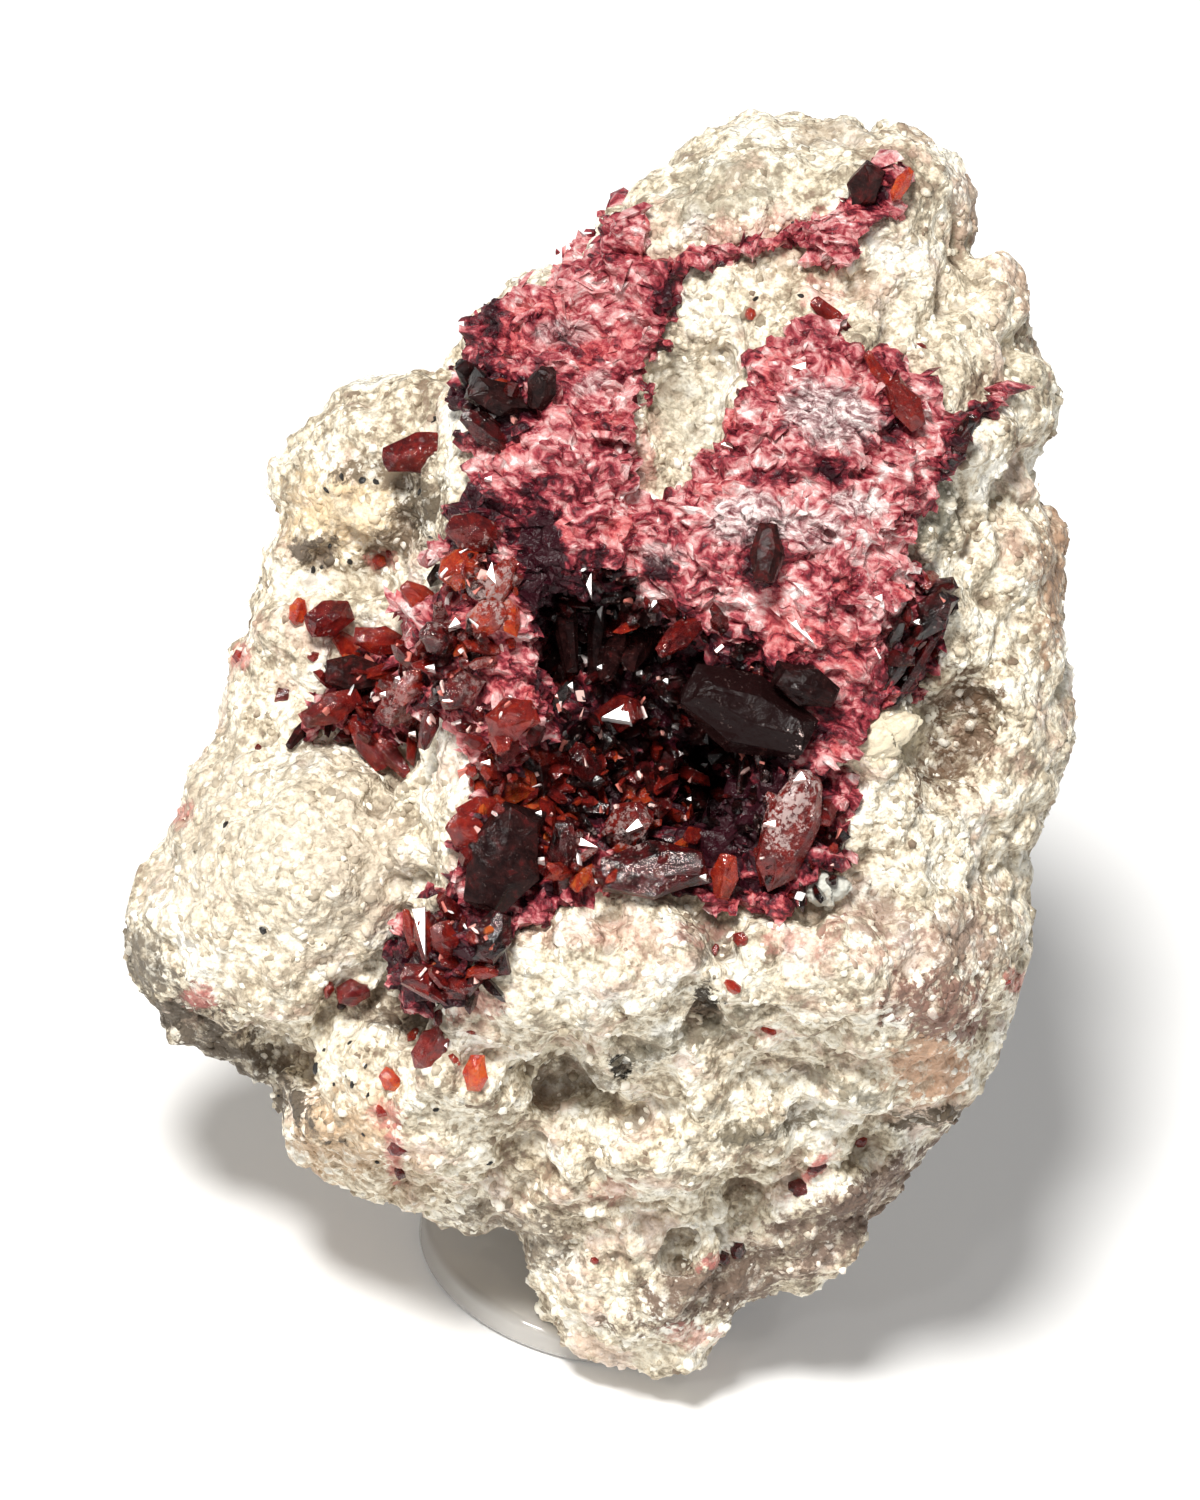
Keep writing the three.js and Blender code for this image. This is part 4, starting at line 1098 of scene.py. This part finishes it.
def carved_rock():
    """The rock's solid with its fine, knobbly, granular surface."""
    rock = copy_of_node("matrix", "rock")
    apply_modifier(rock, "REMESH", mode="VOXEL", voxel_size=FORM_VOXEL)
    apply_modifier(rock, "SMOOTH", factor=0.6, iterations=7)
    for size, height, layers, middle in KNOBS:
        knobs = texture("CLOUDS", size * MM, noise_depth=layers, noise_type="HARD_NOISE")
        displace(rock, knobs, height * MM, middle)
    sharpen(rock, fine=6, coarse=160, deepest=0.6 * MM, highest=0.12 * MM)
    apply_modifier(rock, "REMESH", mode="VOXEL", voxel_size=FINISH_VOXEL)
    displace(rock, texture("VORONOI", PIT_SIZE), -PIT_DEPTH, 0.4)
    move_points(rock, drawn_in(positions(rock.data)))
    return rock


FAR_OUT = 60  # a w that is past every piece


def landing(trees, u, v):
    """Where a line down onto the face first meets one of some surfaces, and the normal there."""
    hits = [tree.ray_cast(face_point(u, v, FAR_OUT), -OUTWARD) for tree in trees]
    hits = [hit for hit in hits if hit[0] is not None]
    if not hits:
        raise RuntimeError(f"nothing lies under the face at {u}, {v}")
    point, normal, *_ = min(hits, key=lambda hit: hit[3])
    return point, normal


def crystal_places(rows, trees):
    """Points, axes, sizes and shades of named crystals standing on a surface."""
    places = {}
    for kind, u, v, long, wide, thick, points, lean, turn, stand, deep in rows:
        turned = (turned_in_face(points)
                  @ Matrix.Rotation(math.radians(-lean), 3, "Y")
                  @ Matrix.Rotation(math.radians(turn), 3, "X"))
        at = landing(trees, u, v)[0] + OUTWARD * stand * MM
        size = np.array((long, wide, thick)) * MM
        places.setdefault(kind, []).append((np.array(at), np.array(FACE @ turned), size, deep))
    return places


def grown_crystals(name, rows, trees, random):
    """One mesh of named crystals, each of its own habit."""
    prototypes = crystal_prototypes(detailed=True)
    parts = []
    for kind, places in crystal_places(rows, trees).items():
        points, axes, sizes, picks = zip(*places)
        parts.append(planted(f"{name}_{kind}", prototypes[kind], points, axes, sizes, picks,
                             random))
    remove(sum(prototypes.values(), []))
    piece = joined(*parts)
    piece.name = piece.data.name = name
    return piece


def surface_trees(*names):
    """Pieces made ready for landing on them."""
    graph = bpy.context.evaluated_depsgraph_get()
    return [BVHTree.FromObject(bpy.data.objects[name], graph) for name in names]


class ROSELITE_OT_rock(bpy.types.Operator):
    """The block of pale, granular rock"""
    bl_idname = "roselite.rock"
    bl_label = "Rock"

    def execute(self, context):
        rock = carved_rock()
        for name, (rounds, deepest) in HOLLOWS.items():
            mark_hollows(rock, name, rounds, deepest)
        apply_modifier(rock, "DECIMATE", ratio=ROCK_SHARE)
        place(rock, rock_material(context.scene.specimen_colours), "rock", "matrix")
        return {"FINISHED"}


def lump_prototype():
    """A smooth, uneven lump, thicker at one end."""
    deselect()
    bpy.ops.mesh.primitive_ico_sphere_add(subdivisions=5, radius=0.5)
    lump = bpy.context.object
    lump.name = "lump"
    edit(lump)
    select_faces(lump, lambda centre, normal: centre.x > 0.1)
    bpy.ops.transform.resize(value=(1.1, 0.75, 0.8))
    bpy.ops.object.mode_set(mode="OBJECT")
    for size, height in ((0.45, 0.16), (0.18, 0.05)):
        displace(lump, texture("CLOUDS", size, noise_type="HARD_NOISE"), height, 0.4)
    return unit_sized(lump)


class ROSELITE_OT_lumps(bpy.types.Operator):
    """The smooth pale lumps at the right of the pocket"""
    bl_idname = "roselite.lumps"
    bl_label = "Pale lumps"

    def execute(self, context):
        random = np.random.default_rng(SEED + 9)
        lump = lump_prototype()
        trees = surface_trees("rock")
        points, axes, sizes, picks = [], [], [], []
        for u, v, long, wide, turn, creamy in PALE_LUMPS:
            points.append(np.array(landing(trees, u, v)[0]))
            axes.append(np.array(FACE @ turned_in_face(turn)))
            sizes.append(np.array((long, wide, wide)) * MM)
            picks.append(creamy)
        lumps = planted("pale_lumps", [lump], points, axes, sizes, picks, random)
        remove([lump])
        activate(lumps)
        bpy.ops.object.shade_smooth()
        place(lumps, lump_material(), "rock")
        return {"FINISHED"}


# How the rock's grains are strewn.
GRAIN_TILT = 0.5
GRAIN_SPREAD = 0.35
GRAIN_LIMITS = (0.4, 1.5)  # the smallest and largest, as shares of the usual size
GRAIN_STRETCH = (0.7, 1.4)  # a grain's reach each way, as a share of its size
GRAIN_SHADES = (0.2, 1)
GRAIN_SINK = 0.25  # how far its middle lies under the surface, as a share of its size
GRAIN_FRONT = -0.1  # how far out of the face a normal looks, at least, at the front
BACK_GRAINS = 0.2  # the share of the places at the back that get a grain


class ROSELITE_OT_grains(bpy.types.Operator):
    """The grains that stand out of the rock's surface"""
    bl_idname = "roselite.grains"
    bl_label = "Rock grains"

    def execute(self, context):
        sizes = context.scene.specimen_sizes
        random = np.random.default_rng(SEED)
        prototypes = grain_prototypes()
        points, normals = surface_samples(bpy.data.objects["rock"], sizes.grain_count * 2, random)
        fronting = normals @ np.array(OUTWARD) > GRAIN_FRONT
        strewn = fronting | (random.random(len(points)) < BACK_GRAINS)
        kept = np.flatnonzero(strewn)[:sizes.grain_count]
        points, normals = points[kept], normals[kept]
        facing = tilted(normals, GRAIN_TILT, random)
        share = random.lognormal(0, GRAIN_SPREAD, (len(points), 1)).clip(*GRAIN_LIMITS)
        size = sizes.grain * share
        points = points - normals * size * GRAIN_SINK
        size = size * random.uniform(*GRAIN_STRETCH, (len(points), 3))
        grains = planted("rock_grains", prototypes, points, frames_along(facing, random),
                         size, random.uniform(*GRAIN_SHADES, len(points)), random)
        remove(prototypes)
        activate(grains)
        bpy.ops.object.shade_smooth()
        place(grains, grain_material(context.scene.specimen_colours), "rock")
        return {"FINISHED"}


# The roselite's skin on the rock, in millimetres.
DEEPEST_GROUND = 13.5  # the least w at which the rock is covered
GROUND_MARGIN = 0.2  # how far the skin stays within its outline
RAGGEDNESS = 0.12
SKIN = 1.5

# Its rises and its facets.
RISE_SIZE = 1.2 * MM
RISE_HEIGHT = 1.5 * MM
FACET_SIZE = 0.6 * MM
FACET_DEPTH = 0.5 * MM


def ground_shell(name):
    """The rock's skin under the roselite, parted from it and thickened outwards."""
    shell = free_copy(bpy.data.objects["rock"], name)
    random = np.random.default_rng(SEED + 1)
    here = positions(shell.data) / MM @ TO_FACE
    u, v = (here[:, :2] + random.normal(0, RAGGEDNESS, (len(here), 2))).T
    covered = here[:, 2] > DEEPEST_GROUND
    for way in (-GROUND_MARGIN, GROUND_MARGIN):
        covered &= inside(ROSELITE_GROUND, u + way, v) & inside(ROSELITE_GROUND, u, v + way)
    mesh = bmesh.new()
    mesh.from_mesh(shell.data)
    mesh.verts.ensure_lookup_table()
    bare = [vertex for vertex, keep in zip(mesh.verts, covered) if not keep]
    bmesh.ops.delete(mesh, geom=bare, context="VERTS")
    mesh.to_mesh(shell.data)
    mesh.free()
    apply_modifier(shell, "SMOOTH", factor=0.5, iterations=4)
    apply_modifier(shell, "SOLIDIFY", thickness=SKIN * MM, offset=0.2)
    return shell


class ROSELITE_OT_ground(bpy.types.Operator):
    """The massive roselite, broken into small flat facets"""
    bl_idname = "roselite.ground"
    bl_label = "Massive roselite"

    def execute(self, context):
        ground = ground_shell("massive_roselite")
        apply_modifier(ground, "REMESH", mode="VOXEL", voxel_size=FINISH_VOXEL)
        flaky = drawn_out_space(FLAKE_TURN, FLAKE_STRETCH)
        rises = texture("CLOUDS", RISE_SIZE, noise_depth=2, noise_type="HARD_NOISE")
        displace(ground, rises, RISE_HEIGHT, 0.35, flaky)
        displace(ground, texture("VORONOI", FACET_SIZE), -FACET_DEPTH, 0.4, flaky)
        remove([flaky])
        apply_modifier(ground, "DECIMATE", ratio=GROUND_SHARE)
        random = np.random.default_rng(SEED + 2)
        picks = random.random(len(ground.data.vertices))[:, None]
        picks = neighbour_mean(ground.data, picks, 1)[:, 0]
        picks = (picks - picks.min()) / (picks.max() - picks.min())
        write_attribute(ground.data, "pick", picks)
        place(ground, massive_material(context.scene.specimen_colours), *CRUST)
        return {"FINISHED"}


# The cleavage flakes.
SHARD_SIZE = -0.85  # the logarithm of their usual size in millimetres
SHARD_SPREAD = 0.4
SHARD_PROPORTIONS = ((0.8, 2), (0.45, 0.9), (0.15, 0.4))  # length, width and thickness
SHARD_TILT = 0.4
SHARD_FRONT = -0.2  # as for the grains
SHARD_TURN = 45  # how far they turn from the way that most of them lie, in degrees


class ROSELITE_OT_shards(bpy.types.Operator):
    """The cleavage flakes that stand out of the massive roselite"""
    bl_idname = "roselite.shards"
    bl_label = "Roselite shards"

    def execute(self, context):
        count = context.scene.specimen_sizes.shard_count
        random = np.random.default_rng(SEED + 3)
        prototypes = shard_prototypes()
        ground = bpy.data.objects["massive_roselite"]
        points, normals = surface_samples(ground, count, random)
        fronting = normals @ np.array(OUTWARD) > SHARD_FRONT
        points, normals = points[fronting], normals[fronting]
        facing = tilted(normals, SHARD_TILT, random)
        size = random.lognormal(SHARD_SIZE, SHARD_SPREAD, (len(points), 1)) * MM
        size = size * proportions(SHARD_PROPORTIONS, len(points), random)
        turns = np.radians(random.normal(FLAKE_TURN, SHARD_TURN, len(points)))
        shards = planted("roselite_shards", prototypes, points, frames_towards(facing, turns),
                         size, random.random(len(points)), random)
        remove(prototypes)
        place(shards, massive_material(context.scene.specimen_colours), *CRUST)
        return {"FINISHED"}


class ROSELITE_OT_crystals(bpy.types.Operator):
    """The larger crystals in and round the pocket, and the nearly black ones among them"""
    bl_idname = "roselite.crystals"
    bl_label = "Crystals"

    def execute(self, context):
        colours = context.scene.specimen_colours
        random = np.random.default_rng(SEED + 4)
        trees = surface_trees("massive_roselite", "rock")
        red = [row for row in CRYSTALS if row[-1] < BLACKEST]
        black = [row for row in CRYSTALS if row[-1] >= BLACKEST]
        crystals = grown_crystals("roselite_crystals", red, trees, random)
        place(crystals, crystal_material(colours), *CRUST)
        dark = grown_crystals("dark_crystals", black, trees, random)
        dark_material = crystal_material(colours, "dark_crystal", shine=0.07, clearness=0.06,
                                         veiling=0.6)
        place(dark, dark_material, *CRUST)
        return {"FINISHED"}


# Where small crystals crowd: (u, v), half-lengths, turn, share of them, and depth of red, which in
# the hole is painted shade.
DRUSE = [
    (3.4, 21.8, 4.6, 3.8, -10, 0.2, 0.93), (0.8, 25, 2.4, 2, 0, 0.08, 0.95),
    # The first crowd here, in the hole under the large dark crystal, is nearly black: painted shade
    # in its depth of red.
    (5.6, 18.8, 2.2, 2, 0, 0.05, 0.97), (1.2, 17.6, 3.6, 2.6, 0, 0.16, 0.5),
    (-2.4, 18.6, 1.8, 3.4, 10, 0.12, 0.5), (-7.2, 22.2, 2.8, 1.9, 10, 0.13, 0.6),
    (-4.6, 12.6, 1.7, 1.8, 0, 0.07, 0.55), (-3.8, 25.4, 1.5, 2.6, 0, 0.09, 0.6),
    (8.4, 16.6, 1.6, 2.2, 0, 0.05, 0.7), (12.8, 24.6, 1.1, 2.2, -30, 0.03, 0.75),
    (-3.2, 33, 1.1, 1.1, 0, 0.02, 0.9),
]
DRUSE_LENGTHS = (0.6, 1.9)  # in millimetres
DRUSE_PROPORTIONS = ((0.35, 0.6), (0.16, 0.36))  # width and thickness, as shares of the length
DRUSE_TILT = 0.35
DRUSE_PULL = 0.6  # how strongly a crystal turns to the way out of the face
DRUSE_SHADES = 0.2  # the spread of their depths of red
DRUSE_STAND = 0.3  # how far a crystal's middle stands above the ground, as a share of its length


def druse_places(trees, count, random):
    """Seeded crystal places in the crowded spots, standing on the surface there."""
    points, normals, depths = [], [], []
    for u, v, across, along, turn, share, deep in DRUSE:
        for _ in range(round(count * share)):
            reach, angle = math.sqrt(random.random()), random.uniform(0, 2 * math.pi)
            du, dv = across * reach * math.cos(angle), along * reach * math.sin(angle)
            spin = math.radians(turn)
            point, normal = landing(trees, u + du * math.cos(spin) - dv * math.sin(spin),
                                    v + du * math.sin(spin) + dv * math.cos(spin))
            points.append(np.array(point))
            normals.append(np.array((normal + OUTWARD * DRUSE_PULL).normalized()))
            depths.append(np.clip(random.normal(deep, DRUSE_SHADES), 0, 1))
    return np.array(points), np.array(normals), np.array(depths)


class ROSELITE_OT_druse(bpy.types.Operator):
    """The small crystals that line the pocket and crowd round it"""
    bl_idname = "roselite.druse"
    bl_label = "Small crystals"

    def execute(self, context):
        random = np.random.default_rng(SEED + 5)
        prototypes = sum(crystal_prototypes().values(), [])
        trees = surface_trees("massive_roselite", "rock")
        count = context.scene.specimen_sizes.druse_count
        points, normals, depths = druse_places(trees, count, random)
        facing = tilted(normals, DRUSE_TILT, random)
        axes = frames_along(facing, random)[:, :, [2, 0, 1]]
        long = random.uniform(*DRUSE_LENGTHS, (len(points), 1)) * MM
        slimness = proportions(DRUSE_PROPORTIONS, len(points), random)
        sizes = np.hstack([long, long * slimness])
        points = points + facing * long * DRUSE_STAND
        druse = planted("small_crystals", prototypes, points, axes, sizes, depths, random)
        remove(prototypes)
        place(druse, crystal_material(context.scene.specimen_colours), *CRUST)
        return {"FINISHED"}


SPECK_SIZES = (0.2, 0.42)  # in millimetres
SCATTER_TILT = 0.3
SCATTER_STRETCH = (0.6, 1.2)
SCATTER_FLATNESS = (1, 0.8, 0.6)  # length, width and thickness, as shares of the size


def scattered(name, prototypes, places, trees, random):
    """One mesh of small pieces at given (u, v, size, pick), each turned at random."""
    points, normals = map(np.array, zip(*[landing(trees, u, v) for u, v, *_ in places]))
    normals = tilted(normals, SCATTER_TILT, random)
    sizes = np.array([size * MM for *_, size, _ in places])[:, None]
    sizes = sizes * random.uniform(*SCATTER_STRETCH, (len(places), 3)) * SCATTER_FLATNESS
    return planted(name, prototypes, points, frames_along(normals, random), sizes,
                   [pick for *_, pick in places], random)


class ROSELITE_OT_specks(bpy.types.Operator):
    """The black specks and the crumbs of roselite on the rock"""
    bl_idname = "roselite.specks"
    bl_label = "Specks and crumbs"

    def execute(self, context):
        random = np.random.default_rng(SEED + 7)
        trees = surface_trees("rock")
        grains = grain_prototypes()
        dots = [(u, v, random.uniform(*SPECK_SIZES), 0) for u, v in SPECKS]
        specks = scattered("black_specks", grains, dots, trees, random)
        remove(grains)
        place(specks, speck_material(), "rock")
        prototypes = sum(crystal_prototypes().values(), [])
        crumbs = scattered("roselite_crumbs", prototypes, CRUMBS, trees, random)
        remove(prototypes)
        place(crumbs, crystal_material(context.scene.specimen_colours), *CRUST)
        return {"FINISHED"}


GLEAMING = (TOWARDS_SUN + OUTWARD).normalized()  # the way that a gleaming face looks
SMALLEST_GLEAM = (0.1, 0.07, 0.2)  # length, width and thickness, in millimetres
LARGEST_GLEAM = (0.5, 0.2, 0.4)
GLEAM_THICKNESS = 0.6  # of the larger ones
GLEAM_PULL = 0.8  # how strongly a small face turns to that way
GROWTH_PULL = 0.7  # and to the way that its crystal grows
GLEAM_TILT = 0.45
GLEAM_SHADES = (-0.4, 1)  # the painted highlight, from pink to white


def facet_prototypes():
    """Flat facets of three to five sides with sloping rims."""
    made = []
    for sides in (3, 4, 5):
        facet = blank("facet", sides, 0.5, (1, 1, 1))
        chisel(facet, 1, 0.9, 0.85, 0)
        made.append(unit_sized(settled(facet)))
    return made


def strewn_gleams(facets, trees, count, random):
    """Small faces with painted highlights among the small crystals, most of them turned towards the
    light.
    """
    points, grown, _ = druse_places(trees, count, random)
    facing = tilted(grown * GROWTH_PULL + np.array(GLEAMING) * GLEAM_PULL, GLEAM_TILT, random)
    sizes = random.uniform(SMALLEST_GLEAM, LARGEST_GLEAM, points.shape) * MM
    picks = random.uniform(*GLEAM_SHADES, len(points))
    return planted("small_gleams", facets, points, frames_along(facing, random), sizes, picks,
                   random)


def placed_gleams(facets, trees, random):
    """The larger faces, each in its place."""
    points, axes, sizes, picks = [], [], [], []
    for u, v, long, wide, turn, white in GLEAMS:
        along = FACE @ turned_in_face(turn) @ Vector((1, 0, 0))
        across = GLEAMING.cross(along).normalized()
        along = across.cross(GLEAMING)
        points.append(np.array(landing(trees, u, v)[0]))
        axes.append(np.array(Matrix((along, across, GLEAMING)).transposed()))
        sizes.append(np.array((long, wide, GLEAM_THICKNESS)) * MM)
        picks.append(white)
    return planted("gleaming_faces", facets, points, axes, sizes, picks, random)


class ROSELITE_OT_gleams(bpy.types.Operator):
    """The crystal faces that catch the light, their highlights painted in their colour"""
    bl_idname = "roselite.gleams"
    bl_label = "Gleaming faces"

    def execute(self, context):
        random = np.random.default_rng(SEED + 8)
        bright = surface_trees("massive_roselite", "rock", "roselite_crystals", "small_crystals")
        facets = facet_prototypes()
        count = context.scene.specimen_sizes.gleam_count
        small = strewn_gleams(facets, bright, count, random)
        gleams = placed_gleams(facets[:1], bright + surface_trees("dark_crystals"), random)
        remove(facets)
        place(joined(gleams, small), gleam_material(), *CRUST)
        return {"FINISHED"}


class ROSELITE_OT_lone(bpy.types.Operator):
    """The crystals that grow by themselves on bare rock"""
    bl_idname = "roselite.lone"
    bl_label = "Lone crystals"

    def execute(self, context):
        random = np.random.default_rng(SEED + 6)
        lone = grown_crystals("lone_crystals", LONE_CRYSTALS, surface_trees("rock"), random)
        place(lone, crystal_material(context.scene.specimen_colours), "roselite", *LONE_NODES)
        return {"FINISHED"}


BASE_ROUNDING = 0.4 * MM


class ROSELITE_OT_base(bpy.types.Operator):
    """The clear round base"""
    bl_idname = "roselite.base"
    bl_label = "Clear base"

    def execute(self, context):
        low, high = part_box("base_disc")
        radius = context.scene.specimen_sizes.base_diameter / 2
        deselect()
        bpy.ops.mesh.primitive_cylinder_add(vertices=160, radius=radius, depth=high.z - low.z,
                                            location=(0, 0, (low.z + high.z) / 2))
        disc = bpy.context.object
        disc.name = disc.data.name = "clear_base"
        bpy.ops.object.transform_apply(location=True, rotation=True, scale=True)
        apply_modifier(disc, "BEVEL", width=BASE_ROUNDING, segments=5, limit_method="ANGLE")
        activate(disc)
        bpy.ops.object.shade_smooth_by_angle(angle=math.radians(40))
        place(disc, clear_material(), "clear_acrylic", "base_disc")
        return {"FINISHED"}


# ------------------------------------------------------------ the stage

CAMERA_DISTANCE = 0.9
VIEW_CENTRE = (0.91, 20.03, 18)  # u, v, w of the middle of the view
VIEW_HEIGHT = 57 * MM
FLOOR_SIZE = 12
FLOOR_DROP = 0.04 * MM  # how far the floor lies under the base
MIDDLE = (0, 0, 25 * MM)  # what the lamps are turned to


def add_floor():
    """A pale floor that gives a little light of its own."""
    deselect()
    bpy.ops.mesh.primitive_plane_add(size=FLOOR_SIZE, location=(0, 0, -FLOOR_DROP))
    floor = bpy.context.object
    floor.name = "floor"
    material, shader, _ = new_material("pale_floor")
    feed(shader, {"Base Color": (0.86, 0.86, 0.86), "Roughness": 0.7,
                  "Emission Color": (1, 1, 1), "Emission Strength": 0.12})
    floor.data.materials.append(material)


def add_lamp(name, size, power, at):
    """A square lamp turned to the specimen."""
    data = bpy.data.lights.new(name, "AREA")
    data.size = size
    data.energy = power
    lamp = bpy.data.objects.new(name, data)
    lamp.location = at
    lamp.rotation_euler = (Vector(MIDDLE) - Vector(at)).to_track_quat("-Z", "Y").to_euler()
    lamp.visible_camera = False
    bpy.context.scene.collection.objects.link(lamp)


def add_sun(name, strength, spread, towards, colour):
    """A soft sun that shines from one way."""
    data = bpy.data.lights.new(name, "SUN")
    data.energy = strength
    data.angle = math.radians(spread)
    data.color = colour
    sun = bpy.data.objects.new(name, data)
    sun.rotation_euler = towards.to_track_quat("Z", "Y").to_euler()
    bpy.context.scene.collection.objects.link(sun)


def add_sky():
    """Even, white light from all round."""
    world = bpy.data.worlds.new("studio")
    world.use_nodes = True
    feed(world.node_tree.nodes["Background"], {"Color": (1, 1, 1), "Strength": 0.2})
    bpy.context.scene.world = world


def add_camera():
    """The camera, which looks straight at the crystal face."""
    data = bpy.data.cameras.new("camera")
    data.sensor_width = 36
    data.lens = data.sensor_width * CAMERA_DISTANCE / VIEW_HEIGHT
    data.clip_start, data.clip_end = 0.01, 10
    camera = bpy.data.objects.new("camera", data)
    u, v, w = VIEW_CENTRE
    pose = FACE.to_4x4()
    pose.translation = face_point(u, v, w + CAMERA_DISTANCE / MM)
    camera.matrix_world = pose
    bpy.context.scene.collection.objects.link(camera)
    bpy.context.scene.camera = camera


class ROSELITE_OT_stage(bpy.types.Operator):
    """The floor, the soft light and the camera"""
    bl_idname = "roselite.stage"
    bl_label = "Stage"

    def execute(self, context):
        add_floor()
        add_sun("overhead", strength=4.4, spread=12, towards=TOWARDS_SUN,
                colour=(1, 0.985, 0.955))
        add_lamp("front", size=0.025, power=0.2, at=(-0.15, -0.5, 0.35))
        add_lamp("spark", size=0.015, power=0.1, at=(0.12, -0.3, 0.42))
        add_sky()
        context.scene.view_settings.view_transform = "Standard"
        add_camera()
        return {"FINISHED"}


class ROSELITE_PT_panel(bpy.types.Panel):
    bl_label = "Roselite specimen"
    bl_idname = "ROSELITE_PT_panel"
    bl_space_type = "VIEW_3D"
    bl_region_type = "UI"
    bl_category = "Specimen"

    def draw(self, context):
        layout = self.layout
        for group in (context.scene.specimen_sizes, context.scene.specimen_colours):
            for name in type(group).__annotations__:
                layout.prop(group, name)
        for operator in OPERATORS:
            layout.operator(operator.bl_idname)


OPERATORS = [
    ROSELITE_OT_stage, ROSELITE_OT_rock, ROSELITE_OT_lumps, ROSELITE_OT_grains,
    ROSELITE_OT_ground, ROSELITE_OT_shards, ROSELITE_OT_crystals, ROSELITE_OT_druse,
    ROSELITE_OT_lone, ROSELITE_OT_gleams, ROSELITE_OT_specks, ROSELITE_OT_base,
]
CLASSES = [SpecimenSizes, SpecimenColours, *OPERATORS, ROSELITE_PT_panel]


def register():
    for each in CLASSES:
        bpy.utils.register_class(each)
    bpy.types.Scene.specimen_sizes = bpy.props.PointerProperty(type=SpecimenSizes)
    bpy.types.Scene.specimen_colours = bpy.props.PointerProperty(type=SpecimenColours)


def unregister():
    del bpy.types.Scene.specimen_colours
    del bpy.types.Scene.specimen_sizes
    for each in reversed(CLASSES):
        bpy.utils.unregister_class(each)


def main():
    register()
    for operator in OPERATORS:
        category, name = operator.bl_idname.split(".")
        getattr(getattr(bpy.ops, category), name)()


if __name__ == "__main__":
    main()
